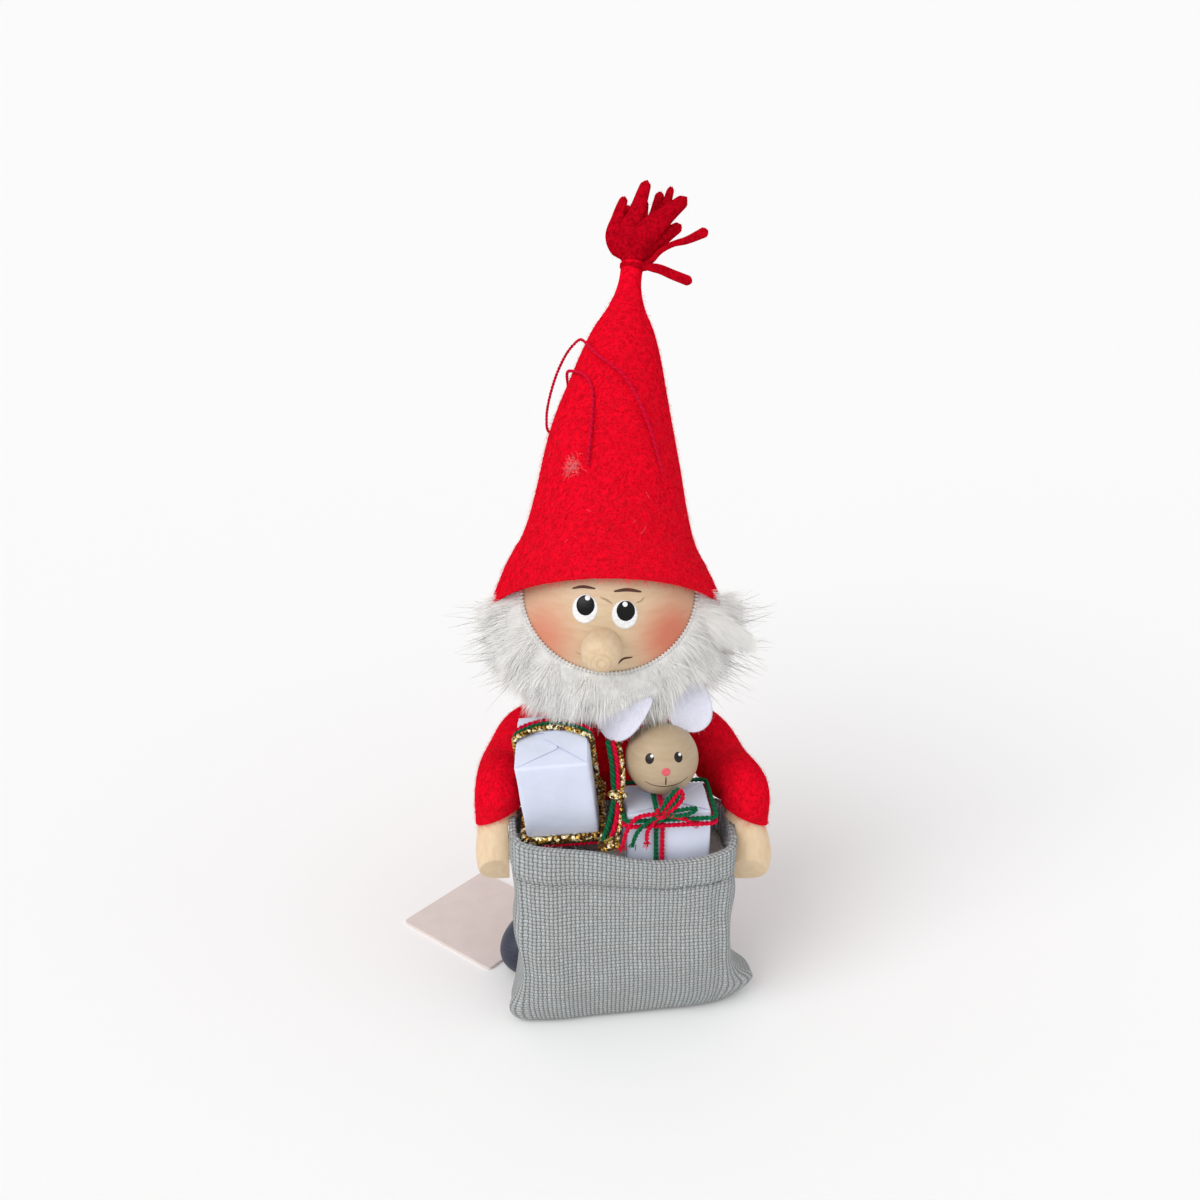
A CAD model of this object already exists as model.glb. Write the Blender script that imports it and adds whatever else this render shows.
"""Santa figurine of turned wood, felt, fur and linen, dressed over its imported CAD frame.

Shapes are worked out in millimetres from the figure's axis on the ground (X right, Y back, Z up)
and moved into the part's frame, in metres, when their meshes are made.
"""
import math

import bmesh
import bpy
import numpy as np
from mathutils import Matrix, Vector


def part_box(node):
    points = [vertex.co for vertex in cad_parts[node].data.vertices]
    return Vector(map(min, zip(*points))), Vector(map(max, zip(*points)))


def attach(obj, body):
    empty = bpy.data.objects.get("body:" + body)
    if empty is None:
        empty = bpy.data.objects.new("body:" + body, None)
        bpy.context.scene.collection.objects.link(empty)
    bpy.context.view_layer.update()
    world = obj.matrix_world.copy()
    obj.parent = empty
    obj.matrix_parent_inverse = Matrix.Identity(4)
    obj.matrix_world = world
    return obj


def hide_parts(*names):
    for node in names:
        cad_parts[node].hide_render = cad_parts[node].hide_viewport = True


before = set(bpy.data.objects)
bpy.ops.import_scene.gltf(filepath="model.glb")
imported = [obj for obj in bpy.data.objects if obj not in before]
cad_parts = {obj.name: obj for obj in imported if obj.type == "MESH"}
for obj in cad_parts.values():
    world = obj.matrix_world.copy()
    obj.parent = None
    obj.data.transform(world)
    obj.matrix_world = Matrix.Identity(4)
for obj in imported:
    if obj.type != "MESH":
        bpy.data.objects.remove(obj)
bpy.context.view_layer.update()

bl_info = {
    "name": "Santa figurine",
    "version": (1, 0, 0),
    "blender": (4, 5, 0),
    "location": "View3D > Sidebar > Figurine",
    "description": "Dresses the figurine's frame in felt, fur, wood, linen and paper",
    "category": "Object",
}


def middle(node):
    """The middle of a CAD node's box, in metres."""
    low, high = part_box(node)
    return (np.array(low) + np.array(high)) / 2


# The figure's axis on the ground, in the part's frame: under the head, in front of the neck dowel.
AXIS = np.array([middle("head")[0], middle("neck_dowel")[1] - 0.007, 0.0])
HEAD = np.array([0.0, 0.0, 108.0])
HEAD_RADIUS = 25.0
BODY = np.array([0.0, 7.0, 0.0])
FELT = 1.6
TAU = 2 * math.pi
RIGHT, UP = np.array([1.0, 0.0, 0.0]), np.array([0.0, 0.0, 1.0])
SIDES = ((-1, "left"), (1, "right"))
CAMERA, CAMERA_PITCH = np.array([-2.3, -352.8, 266.2]), 66.0


def in_part(points):
    """Figure points, in millimetres, as points of the part's frame, in metres."""
    return np.asarray(points) * 0.001 + AXIS


# Numbers and curves

def unit(vectors):
    """Vectors divided by their lengths."""
    return vectors / np.maximum(np.linalg.norm(vectors, axis=-1, keepdims=True), 1e-12)


def turn_about(axis, degrees):
    """The matrix that turns a column vector about X, Y or Z."""
    c, s = math.cos(math.radians(degrees)), math.sin(math.radians(degrees))
    first, second = {"X": (1, 2), "Y": (2, 0), "Z": (0, 1)}[axis]
    matrix = np.eye(3)
    matrix[first, first] = matrix[second, second] = c
    matrix[first, second], matrix[second, first] = -s, s
    return matrix


def outward(lift, turn):
    """The direction at an elevation and a turn from the front towards +X, both in degrees."""
    lift, turn = np.radians(lift), np.radians(turn)
    return np.stack([np.cos(lift) * np.sin(turn), -np.cos(lift) * np.cos(turn), np.sin(lift)], -1)


def run_length(path):
    """The running length along a path."""
    return np.concatenate([[0], np.cumsum(np.linalg.norm(np.diff(path, axis=0), axis=1))])


def evenly(path, count):
    """A path resampled at even steps of its running length."""
    length = run_length(path)
    stops = np.linspace(0, length[-1], count)
    return np.stack([np.interp(stops, length, column) for column in path.T], 1)


def spline(points, count, closed=False):
    """Evenly spaced points on a smooth curve.

    Between each pair of points runs the cubic whose end slopes are half the step between the
    neighbours on either side; the whole curve is then resampled by its running length.
    """
    p = np.asarray(points, float)
    ends = (p[-1:], p[:2]) if closed else (2 * p[:1] - p[1:2], 2 * p[-1:] - p[-2:-1])
    run = np.vstack([ends[0], p, ends[1]])
    spans = len(run) - 3
    t = np.linspace(0, 1, 24, endpoint=False)[None, :, None]
    a, b, c, d = (run[i:i + spans, None, :] for i in range(4))
    curve = 2 * b + (c - a) * t + (2 * a - 5 * b + 4 * c - d) * t**2 + (3 * b - a - 3 * c + d) * t**3
    curve = np.vstack([0.5 * curve.reshape(-1, p.shape[1]), p[:1] if closed else p[-1:]])
    return evenly(curve, count)


def across_path(path, reference, closed):
    """For each point of a path, its direction and the two directions across it.

    The first is the direction crossed with the reference, the second completes the frame.
    """
    if closed:
        step = np.roll(path[:-1], -1, 0) - np.roll(path[:-1], 1, 0)
        step = np.vstack([step, step[:1]])
    else:
        step = np.gradient(path, axis=0)
    along = unit(step)
    side = unit(np.cross(along, reference))
    return along, side, np.cross(side, along)


def sweep(path, radius, sides, reference, closed=False):
    """A round tube: at each point of the path, a circle across it with its seam point repeated."""
    _, side, up = across_path(path, reference, closed)
    angle = np.linspace(0, TAU, sides + 1)
    r = np.broadcast_to(np.asarray(radius, float), (len(path),))[:, None, None]
    circle = np.cos(angle)[None, :, None] * side[:, None] + np.sin(angle)[None, :, None] * up[:, None]
    return path[:, None] + r * circle


def capped(rings):
    """Rings along a tube, with the middle of the first and of the last one added, which closes its ends."""
    ends = [np.broadcast_to(rings[i].mean(0), rings[i].shape)[None] for i in (0, -1)]
    return np.concatenate([ends[0], rings, ends[1]])


def drawn_in(edge, centre, shares):
    """A ring repeated between a centre and itself: each copy is the centre plus a share of the way out."""
    return centre + (edge - centre) * np.asarray(shares)[:, None, None]


def two_sided(sheet, rim):
    """A sheet given thickness: each row becomes a closed ring, out by the rim and back inside it."""
    ring = np.concatenate([sheet + rim, (sheet - rim)[:, ::-1]], 1)
    return capped(np.concatenate([ring, ring[:, :1]], 1))


def squared(wave, power):
    """A sine or cosine raised to a power with its sign kept, which squares a circle's corners out."""
    return np.sign(wave) * np.abs(wave) ** power


def fade(values, start, end):
    """0 at the start, 1 at the end, a straight ramp between them and level beyond."""
    return np.clip((values - start) / (end - start), 0, 1)


def turned(profile, segments):
    """A turned surface about Z: each [radius, height] of the profile carried round a full circle."""
    angle = np.linspace(0, TAU, segments + 1)
    radius, height = np.asarray(profile, float).T
    ring = np.stack([np.sin(angle), -np.cos(angle), np.zeros_like(angle)], 1)
    return radius[:, None, None] * ring[None] + UP * height[:, None, None]


def ripple(points, size, seed):
    """A smooth wavering between about -1 and 1: the mean of five sines along fixed slanted directions."""
    rng = np.random.default_rng(seed)
    waves = unit(rng.normal(size=(5, 3))) * rng.uniform(0.7, 1.5, (5, 1)) * TAU / size
    return np.sin(points @ waves.T + rng.uniform(0, TAU, 5)).mean(-1) * 1.6


# Meshes

class Shape:
    """Points, four-cornered faces, texture coordinates, tones and finish numbers of several surfaces."""

    def __init__(self):
        self.points, self.faces, self.flat, self.tone, self.finish = [], [], [], [], []
        self.count = 0

    def store(self, points, corners, flat, tone, finish):
        """Keeps one surface; corners are counted within it."""
        faces = np.stack(corners, -1).reshape(-1, 4) + self.count
        self.points.append(points.reshape(-1, 3))
        self.faces.append(faces)
        self.flat.append(flat.reshape(-1, 2))
        self.tone.append(np.broadcast_to(tone, points.shape[:-1]).reshape(-1))
        self.finish.append(np.full(len(faces), finish))
        self.count += len(self.points[-1])
        return self

    def add(self, points, flat=None, tone=0.5, finish=0):
        """Adds a grid of rows and columns; neighbouring points make the corners of a face."""
        rows, columns = points.shape[:2]
        index = np.arange(rows * columns).reshape(rows, columns)
        corners = [index[:-1, :-1], index[:-1, 1:], index[1:, 1:], index[1:, :-1]]
        if flat is None:
            flat = np.stack(np.meshgrid(np.linspace(0, 1, columns), np.linspace(0, 1, rows)), -1)
        return self.store(points, corners, flat, tone, finish)

    def add_hairs(self, lines, half_width, across, tone, finish=0):
        """Adds ribbons: lines is (hair, step, 3), and each step gets a point on either side."""
        hairs, steps = lines.shape[:2]
        offset = across[:, None] * half_width[..., None]
        points = np.stack([lines - offset, lines + offset], 2)
        index = np.arange(hairs * steps * 2).reshape(hairs, steps, 2)
        corners = [index[:, :-1, 0], index[:, :-1, 1], index[:, 1:, 1], index[:, 1:, 0]]
        rise = np.broadcast_to(np.linspace(0, 1, steps)[None, :, None], (hairs, steps, 2))
        flat = np.stack([np.broadcast_to([0.0, 1.0], rise.shape), rise], -1)
        return self.store(points, corners, flat, tone[:, None, None], finish)

    def placed(self, turn, spot):
        """Turns all its points and moves them to a spot."""
        self.points = [points @ turn.T + spot for points in self.points]
        return self


def make_piece(name, shape, materials, replaces=(), weld=True, sharp=None):
    """Puts a shape into a mesh in the part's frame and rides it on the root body."""
    points = in_part(np.vstack(shape.points))
    faces = np.vstack(shape.faces)
    mesh = bpy.data.meshes.new(name)
    mesh.vertices.add(len(points))
    mesh.vertices.foreach_set("co", points.astype(np.float32).ravel())
    mesh.loops.add(faces.size)
    mesh.loops.foreach_set("vertex_index", faces.astype(np.int32).ravel())
    mesh.polygons.add(len(faces))
    mesh.polygons.foreach_set("loop_start", np.arange(0, faces.size, 4, dtype=np.int32))
    mesh.polygons.foreach_set("material_index", np.concatenate(shape.finish).astype(np.int32))
    mesh.polygons.foreach_set("use_smooth", np.ones(len(faces), bool))
    mesh.update(calc_edges=True)
    layer = mesh.uv_layers.new(name="flat")
    layer.uv.foreach_set("vector", np.vstack(shape.flat)[faces.ravel()].astype(np.float32).ravel())
    tone = mesh.attributes.new("tone", "FLOAT", "POINT")
    tone.data.foreach_set("value", np.concatenate(shape.tone).astype(np.float32))
    for material in materials:
        mesh.materials.append(material)
    if weld:
        work = bmesh.new()
        work.from_mesh(mesh)
        bmesh.ops.remove_doubles(work, verts=work.verts, dist=2e-6)
        bmesh.ops.dissolve_degenerate(work, edges=work.edges, dist=1e-7)
        bmesh.ops.recalc_face_normals(work, faces=work.faces)
        work.to_mesh(mesh)
        work.free()
    if sharp is not None:
        mesh.set_sharp_from_angle(angle=math.radians(sharp))
    piece = bpy.data.objects.new(name, mesh)
    bpy.context.scene.collection.objects.link(piece)
    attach(piece, "root")
    if replaces:
        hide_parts(*replaces)
    return piece


def finish_node(node, material):
    """Gives a CAD node that shows as it is its one material."""
    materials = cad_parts[node].data.materials
    materials.clear()
    materials.append(material)


# Finishes

def linear(colour):
    """A colour of 0 to 255 as it shows on screen, as the linear value that a shader takes."""
    c = np.asarray(colour, float) / 255
    return tuple(np.where(c <= 0.04045, c / 12.92, ((c + 0.055) / 1.055) ** 2.4)) + (1.0,)


class Value:
    """One output of a shader node; arithmetic on it adds Math nodes."""

    def __init__(self, finish, socket):
        self.finish, self.socket = finish, socket

    def maths(self, operation, *terms):
        return self.finish.add("ShaderNodeMath", {"operation": operation}, dict(enumerate(terms)))

    def __add__(self, other):
        return self.maths("ADD", self, other)

    def __sub__(self, other):
        return self.maths("SUBTRACT", self, other)

    def __rsub__(self, other):
        return self.maths("SUBTRACT", other, self)

    def __mul__(self, other):
        return self.maths("MULTIPLY", self, other)

    def __truediv__(self, other):
        return self.maths("DIVIDE", self, other)

    __radd__ = __add__
    __rmul__ = __mul__

    def floor(self):
        return self.maths("FLOOR", self)

    def sine(self):
        return self.maths("SINE", self)

    def size(self):
        return self.maths("ABSOLUTE", self)

    def most(self, other):
        return self.maths("MAXIMUM", self, other)

    def between(self, low, high):
        """0 below low, 1 above high, and a smooth step between; low may be the larger."""
        settings = {"interpolation_type": "SMOOTHSTEP"}
        return self.finish.add("ShaderNodeMapRange", settings, {0: self, 1: low, 2: high})


class Finish:
    """A material in the making: its nodes, its shader, and one method that adds any node.

    Constants are further inputs of the shader, such as coat_weight for Coat Weight.
    """

    def __init__(self, name, colour, roughness, **constants):
        self.material = bpy.data.materials.new(name)
        self.material.use_nodes = True
        self.nodes, self.links = self.material.node_tree.nodes, self.material.node_tree.links
        self.shader = self.nodes["Principled BSDF"]
        self.set("Base Color", colour)
        self.set("Roughness", roughness)
        for key, value in constants.items():
            self.set(key.replace("_", " ").title().replace("Ior", "IOR"), value)

    def add(self, kind, settings=None, sockets=None, output=0):
        """Adds a node with its settings, its inputs filled or joined, and gives one of its outputs."""
        node = self.nodes.new(kind)
        for key, value in (settings or {}).items():
            setattr(node, key, value)
        for key, value in (sockets or {}).items():
            self.join(value, node.inputs[key])
        return Value(self, node.outputs[output])

    def join(self, value, socket):
        """Links a value of another node to an input, or writes a constant into it."""
        if isinstance(value, Value):
            self.links.new(value.socket, socket)
        else:
            socket.default_value = value

    def set(self, name, value):
        self.join(value, self.shader.inputs[name])

    def spot(self):
        """Object coordinates."""
        return self.add("ShaderNodeTexCoord", output="Object")

    def place(self, stretch=(1, 1, 1), turn=(0, 0, 0)):
        """Object coordinates, turned and stretched."""
        sockets = {"Vector": self.spot(), "Rotation": turn, "Scale": stretch}
        return self.add("ShaderNodeMapping", None, sockets)

    def flat(self):
        """The piece's own texture coordinates as two values."""
        uv = self.add("ShaderNodeUVMap", {"uv_map": "flat"})
        split = self.add("ShaderNodeSeparateXYZ", None, {0: uv})
        return split, Value(self, split.socket.node.outputs[1])

    def tone(self):
        """The tone that each hair or thread was given."""
        return self.add("ShaderNodeAttribute", {"attribute_name": "tone"}, output="Fac")

    def noise(self, vector, scale, detail=3.0, roughness=0.55):
        sockets = {"Vector": vector, "Scale": scale, "Detail": detail, "Roughness": roughness}
        return self.add("ShaderNodeTexNoise", None, sockets)

    def mix(self, factor, first, second):
        """The first colour where the factor is 0, the second where it is 1."""
        sockets = {0: factor, 6: first, 7: second}
        return self.add("ShaderNodeMix", {"data_type": "RGBA"}, sockets, output=2)

    def distance(self, vector, point):
        return self.add("ShaderNodeVectorMath", {"operation": "DISTANCE"}, {0: vector, 1: point}, "Value")

    def bump(self, height, depth, strength=1.0):
        sockets = {"Height": height, "Distance": depth, "Strength": strength}
        self.set("Normal", self.add("ShaderNodeBump", None, sockets))


def made(name, build, *values, **named):
    """The material of that name, built from the values the first time that it is asked for."""
    return bpy.data.materials.get(name) or build(name, *values, **named)


def chosen(name):
    """One of the colours that a user can change, as a shader takes it."""
    return tuple(getattr(bpy.context.scene.figurine_colours, name)) + (1.0,)


def millimetres(name):
    """One of the sizes that a user can change."""
    return getattr(bpy.context.scene.figurine_sizes, name) * 1000


def shade(colour, factor):
    """A linear colour made lighter or darker."""
    return tuple(min(1.0, c * factor) for c in colour[:3]) + (1.0,)


def felt(name, colour, contrast):
    """Pressed wool: cloudy patches and a tangle of fibres, dark in the gaps between them."""
    finish = Finish(name, colour, 1.0, specular_ior_level=0.0)
    cloud = finish.noise(finish.place(), 560.0, 4.0, 0.65)
    tangle = finish.noise(finish.place((1.0, 2.4, 0.8), turn=(0.4, 0.3, 0.7)), 820.0, 3.0)
    cross = finish.noise(finish.place((2.3, 0.9, 1.2), turn=(1.1, 0.2, 0.1)), 800.0, 3.0)
    fibre = tangle.most(cross)
    tone = finish.mix(cloud.between(0.34, 0.6), shade(colour, 1 - 1.6 * contrast), colour)
    tone = finish.mix(fibre.between(0.57, 0.46), tone, shade(colour, 1 - 2.4 * contrast))
    finish.set("Base Color", tone)
    finish.bump(fibre + cloud * 0.5, 0.0002, 0.5)
    return finish.material


def red_felt():
    """The hat's, coat's and sleeves' cloth."""
    return made("pressed_red_felt", felt, chosen("felt"), 0.14)


def deep_felt():
    """The tassel's and the tie's cloth, darker than the rest."""
    return made("tassel_felt", felt, shade(chosen("felt"), 0.59), 0.16)


def fuzz_finish(name, colour, tip):
    """Loose hairs: a tone of their own each, paler to the tip."""
    finish = Finish(name, colour, 0.9, specular_ior_level=0.1)
    _, rise = finish.flat()
    own = finish.mix(finish.tone(), shade(colour, 0.62), shade(colour, 1.12))
    finish.set("Base Color", finish.mix(rise * 0.5, own, tip))
    return finish.material


def red_fuzz():
    return made("red_fuzz", fuzz_finish, chosen("felt"), linear((255, 36, 58)))


def varnished_wood(name, grain, tint=1.0, rings=None, blush=()):
    """Pale turned wood: long grain streaks, fine pores, and a thin coat of clear varnish.

    tint darkens it; rings is the middle of an end-grain face in the part's frame; blush lists
    painted cheeks.
    """
    pale, dark = shade(linear((227, 202, 168)), tint), shade(linear((214, 182, 142)), tint)
    finish = Finish(name, pale, 0.45, coat_weight=0.1, coat_roughness=0.35, specular_ior_level=0.35)
    streak = finish.noise(finish.place(grain), 210.0, 4.0, 0.6)
    pores = finish.noise(finish.place(tuple(g * 2.4 for g in grain)), 700.0, 2.0)
    wood = finish.mix(streak.between(0.34, 0.72) * 0.6, pale, dark)
    wood = finish.mix(pores.between(0.6, 0.76) * 0.12, wood, linear((190, 146, 104)))
    height = pores * -0.4 + streak * 0.5
    if rings is not None:
        reach = finish.distance(finish.spot(), rings)
        growth = ((reach + streak * 0.0009) * (TAU / 0.0013)).sine().between(0.2, 0.95)
        wood = finish.mix(growth * reach.between(0.005, 0.002) * 0.22, wood, linear((176, 128, 84)))
    for spot, radius, strength in blush:
        mask = finish.distance(finish.spot(), spot).between(radius, radius * 0.1)
        wood = finish.mix(mask * strength, wood, linear((205, 98, 70)))
    finish.set("Base Color", wood)
    finish.set("Roughness", 0.42 + streak * 0.12)
    finish.bump(height, 0.0001, 0.15)
    return finish.material


def paint(name, colour, roughness=0.35):
    """Hand paint: slightly uneven in tone and gloss, with faint brush ridges."""
    finish = Finish(name, colour, roughness, specular_ior_level=0.2)
    stroke = finish.noise(finish.place((1.0, 1.0, 3.0)), 900.0, 3.0)
    finish.set("Base Color", finish.mix(stroke.between(0.35, 0.7), shade(colour, 0.86), shade(colour, 1.06)))
    finish.set("Roughness", stroke * 0.2 + (roughness - 0.08))
    finish.bump(stroke, 0.0001, 0.3)
    return finish.material


def paper(name, colour, crease=1.0):
    """Smooth paper: faint cockling, fine fibre and a slight warmth where it is handled."""
    finish = Finish(name, colour, 0.6, specular_ior_level=0.35)
    cockle = finish.noise(finish.place(), 150.0, 3.0)
    fibre = finish.noise(finish.place(), 1800.0, 2.0)
    worn = cockle.between(0.3, 0.75) * 0.6 + fibre * 0.2
    finish.set("Base Color", finish.mix(worn, colour, shade(colour, 0.9)))
    finish.set("Roughness", 0.52 + fibre * 0.16)
    finish.bump(cockle * crease + fibre * 0.12, 0.0006, 0.5)
    return finish.material


def yarn_finish(name, colour):
    """Twisted yarn: a tone for each ply, fine fibres along it and a dull surface."""
    finish = Finish(name, colour, 0.85, specular_ior_level=0.1)
    around, along = finish.flat()
    fibre = ((around * 9.0 + along * 3.0) * TAU).sine()
    fleck = finish.noise(finish.place(), 2600.0, 2.0)
    dark = finish.mix(finish.tone(), shade(colour, 0.8), shade(colour, 1.2))
    finish.set("Base Color", finish.mix(fleck.between(0.45, 0.8) * 0.5, dark, shade(colour, 1.6)))
    finish.bump(fibre * 0.3 + fleck, 0.00015, 0.6)
    return finish.material


def red_yarn():
    return made("twisted_red_yarn", yarn_finish, chosen("red_cord"))


def green_yarn():
    return made("twisted_green_yarn", yarn_finish, chosen("green_cord"))


def braid_finish(name, bright):
    """Metal-wrapped braid: flat facets, some glinting, some dark, with deep gaps between the wraps."""
    finish = Finish(name, bright, 0.3, metallic=0.55)
    around, along = finish.flat()
    wrap = ((along * 1.6 + around) * TAU).sine().between(-0.9, 0.1)
    cells = {"Vector": finish.place(), "Scale": 1150.0}
    facet = finish.add("ShaderNodeTexVoronoi", {"feature": "F1"}, cells, "Color")
    lit = finish.add("ShaderNodeSeparateXYZ", None, {0: facet})
    tone = finish.mix(wrap * lit.between(0.12, 0.55), linear((78, 46, 12)), bright)
    finish.set("Base Color", finish.mix(lit.between(0.7, 0.8), tone, linear((255, 243, 200))))
    finish.set("Roughness", 0.5 - lit * 0.3)
    finish.bump(wrap + lit * 1.2, 0.0004, 1.0)
    return finish.material


def gold_braid():
    return made("metal_wrapped_braid", braid_finish, chosen("gold"))


def linen_weave(name, ground, pitch):
    """Coarse plain weave on the sack's own coordinates, in millimetres.

    Along each warp thread a hump rises where it passes over a weft thread, and the other way
    about between them; the weft lies flatter, and every thread has a tone of its own.
    """
    finish = Finish(name, ground, 0.95, sheen_weight=0.1, specular_ior_level=0.1)
    u, v = finish.flat()
    slub = finish.noise(finish.place(), 140.0, 3.0)
    fleck = finish.noise(finish.place(), 900.0, 2.0)
    warp, weft = u / pitch + slub * 0.4, v / (pitch * 0.9) + slub * 0.3
    odd = (warp.floor() + weft.floor()) * 0.5
    over = (odd - odd.floor()).between(0.2, 0.3)
    ridge_warp, ridge_weft = ((thread * math.pi).sine().size() for thread in (warp, weft))
    hump_warp = ridge_warp * (0.7 + ridge_weft * 0.3)
    hump_weft = (0.2 + ridge_weft * 0.8) * (0.45 + ridge_warp * 0.4)
    height = hump_warp * over + hump_weft * (1 - over)
    own_warp, own_weft = (
        finish.add("ShaderNodeTexWhiteNoise", {"noise_dimensions": "1D"}, {"W": number})
        for number in (warp.floor(), weft.floor() + 71.3))
    thread = own_warp * over + own_weft * (1 - over)
    tone = finish.mix(thread * 0.6 + over * 0.4, shade(ground, 0.82), shade(ground, 1.12))
    tone = finish.mix(fleck.between(0.35, 0.7), shade(ground, 0.82), tone)
    tone = finish.mix(slub.between(0.35, 0.7) * 0.25, tone, shade(linear((190, 186, 172)), 0.8))
    finish.set("Base Color", finish.mix(height.between(0.66, 0.12), tone, shade(ground, 0.32)))
    finish.bump(height, 0.0006, 0.8)
    return finish.material


# Sizes and colours that a user would change

def length_property(name, description, default):
    """A length in metres that a user can change."""
    return bpy.props.FloatProperty(name=name, description=description, default=default, unit="LENGTH")


class FigurineSizes(bpy.types.PropertyGroup):
    """Lengths and counts."""
    fuzz_length: length_property("Felt fuzz", "Length of the loose hairs on the felt", 0.0024)
    fur_length: length_property("Fur pile", "Length of the beard's pile", 0.0062)
    guard_length: length_property("Guard hairs", "Length of the beard's longest hairs", 0.0135)
    weave_pitch: length_property("Weave pitch", "Distance between the sack's threads", 0.00115)
    cord_diameter: length_property("Parcel cord", "Thickness of the parcels' cords", 0.0013)
    loop_diameter: length_property("Hanging cord", "Thickness of the hanging cord", 0.0009)
    eye_diameter: length_property("Eye", "Width of the painted eyes", 0.0064)
    fur_hairs: bpy.props.IntProperty(
        name="Fur hairs", description="Number of hairs in each layer of the pile", default=24000, min=100)


def colour_property(name, description, default):
    """A colour that a user can change; its default is given as it shows on screen."""
    return bpy.props.FloatVectorProperty(
        name=name, description=description, default=linear(default)[:3], subtype="COLOR", min=0.0, max=1.0)


class FigurineColours(bpy.types.PropertyGroup):
    """Colours of cloth, paper, cord and paint."""
    felt: colour_property("Red felt", "Hat, coat and sleeves", (238, 11, 38))
    ear_felt: colour_property("White felt", "The rabbit's ears", (222, 222, 236))
    fur: colour_property("Fur", "The beard", (247, 246, 243))
    linen: colour_property("Linen", "The sack", (190, 195, 196))
    paper: colour_property("Paper", "The parcels' wrapping", (218, 224, 243))
    red_cord: colour_property("Red cord", "Hanging cord and red parcel cords", (214, 10, 54))
    green_cord: colour_property("Green cord", "Green parcel cords", (16, 98, 62))
    gold: colour_property("Gold braid", "Braid on the large parcel", (226, 180, 74))
    boots: colour_property("Boots", "Paint of the boots and legs", (62, 65, 80))
    card: colour_property("Card", "The tag beside the boot", (226, 213, 208))


# Stage

class FIGURINE_OT_stage(bpy.types.Operator):
    """Makes the camera at the photograph's angle, the pale floor and the soft light."""
    bl_idname = "figurine.stage"
    bl_label = "Stage"

    def execute(self, context):
        scene = context.scene
        scene.view_settings.view_transform = "Standard"
        data = bpy.data.cameras.new("camera")
        data.sensor_width, data.lens = 36.0, 45.0
        data.clip_start, data.clip_end = 0.01, 100.0
        camera = bpy.data.objects.new("camera", data)
        camera.location = in_part(CAMERA)
        camera.rotation_euler = (math.radians(CAMERA_PITCH), 0.0, 0.0)
        scene.collection.objects.link(camera)
        scene.camera = camera

        mesh = bpy.data.meshes.new("floor")
        corners = [(-20, -20, 0), (20, -20, 0), (20, 40, 0), (-20, 40, 0)]
        mesh.from_pydata(corners, [], [(0, 1, 2, 3)])
        finish = Finish("floor_paint", (0.93, 0.93, 0.93, 1.0), 0.9, specular_ior_level=0.0)
        mesh.materials.append(finish.material)
        floor = bpy.data.objects.new("floor", mesh)
        scene.collection.objects.link(floor)

        world = bpy.data.worlds.new("studio")
        world.use_nodes = True
        background = world.node_tree.nodes["Background"]
        background.inputs["Color"].default_value = (1.0, 1.0, 1.0, 1.0)
        background.inputs["Strength"].default_value = 0.66
        scene.world = world
        for name, energy, angle, pitch, yaw in (("key", 1.5, 45, 40, -44), ("fill", 0.34, 80, 40, 42)):
            lamp = bpy.data.lights.new(name, "SUN")
            lamp.energy, lamp.angle = energy, math.radians(angle)
            lamp_object = bpy.data.objects.new(name, lamp)
            lamp_object.rotation_euler = (math.radians(90 - pitch), 0.0, math.radians(yaw))
            scene.collection.objects.link(lamp_object)
        return {"FINISHED"}


# Hat

HAT_TURN = turn_about("X", -27) @ turn_about("Y", 4)
HAT_HEIGHT = 89.5
HAT_TIP = 2.9
HAT_BOW = -2.0
HAT_RADII, HAT_LEVELS = spline([  # the cone's outside
    (30, -11.5), (30.4, -2.5), (27.6, 5.9), (25, 11.3), (21.75, 18.3), (18.1, 35.8), (14, 52.8),
    (8.4, 69.8), (4.9, 77.15), (3.1, 83.2), (HAT_TIP, HAT_HEIGHT),
], 600).T
BRIM_UP = np.array([0.0, math.sin(math.radians(41)), math.cos(math.radians(41))])
BRIM_DROP = 1.9
FUZZ_TOP = 84.0
TASSEL_FOOT = HAT_HEIGHT + 0.3
TASSEL_LENGTH = 21.5
TIE_LEVEL = HAT_HEIGHT * 0.985


def hat_point(turn, height, stand_off=0.0):
    """A point on the hat at a turn from the front (radians) and a height up its axis.

    The axis bows sideways by half a sine wave between the brim and the tip.
    """
    radius = np.interp(height, HAT_LEVELS, HAT_RADII) + stand_off
    bow = HAT_BOW * np.sin(math.pi * fade(height, 0, HAT_HEIGHT))
    spot = np.broadcast_arrays(np.sin(turn) * radius + bow, -np.cos(turn) * radius, height)
    return np.stack(spot, -1) @ HAT_TURN.T + HEAD


def brim_heights(turn):
    """For each turn, the height at which the cone meets the slanted brim plane."""
    trial = np.linspace(-11.4, 16, 300)
    spots = hat_point(turn[:, None], np.broadcast_to(trial, (len(turn), len(trial))))
    above = (spots - HEAD) @ BRIM_UP + BRIM_DROP
    first = np.argmax(above > 0, axis=1)
    pick = np.arange(len(turn))
    low, high = above[pick, first - 1], above[pick, first]
    return trial[first - 1] + (trial[1] - trial[0]) * -low / (high - low)


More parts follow.
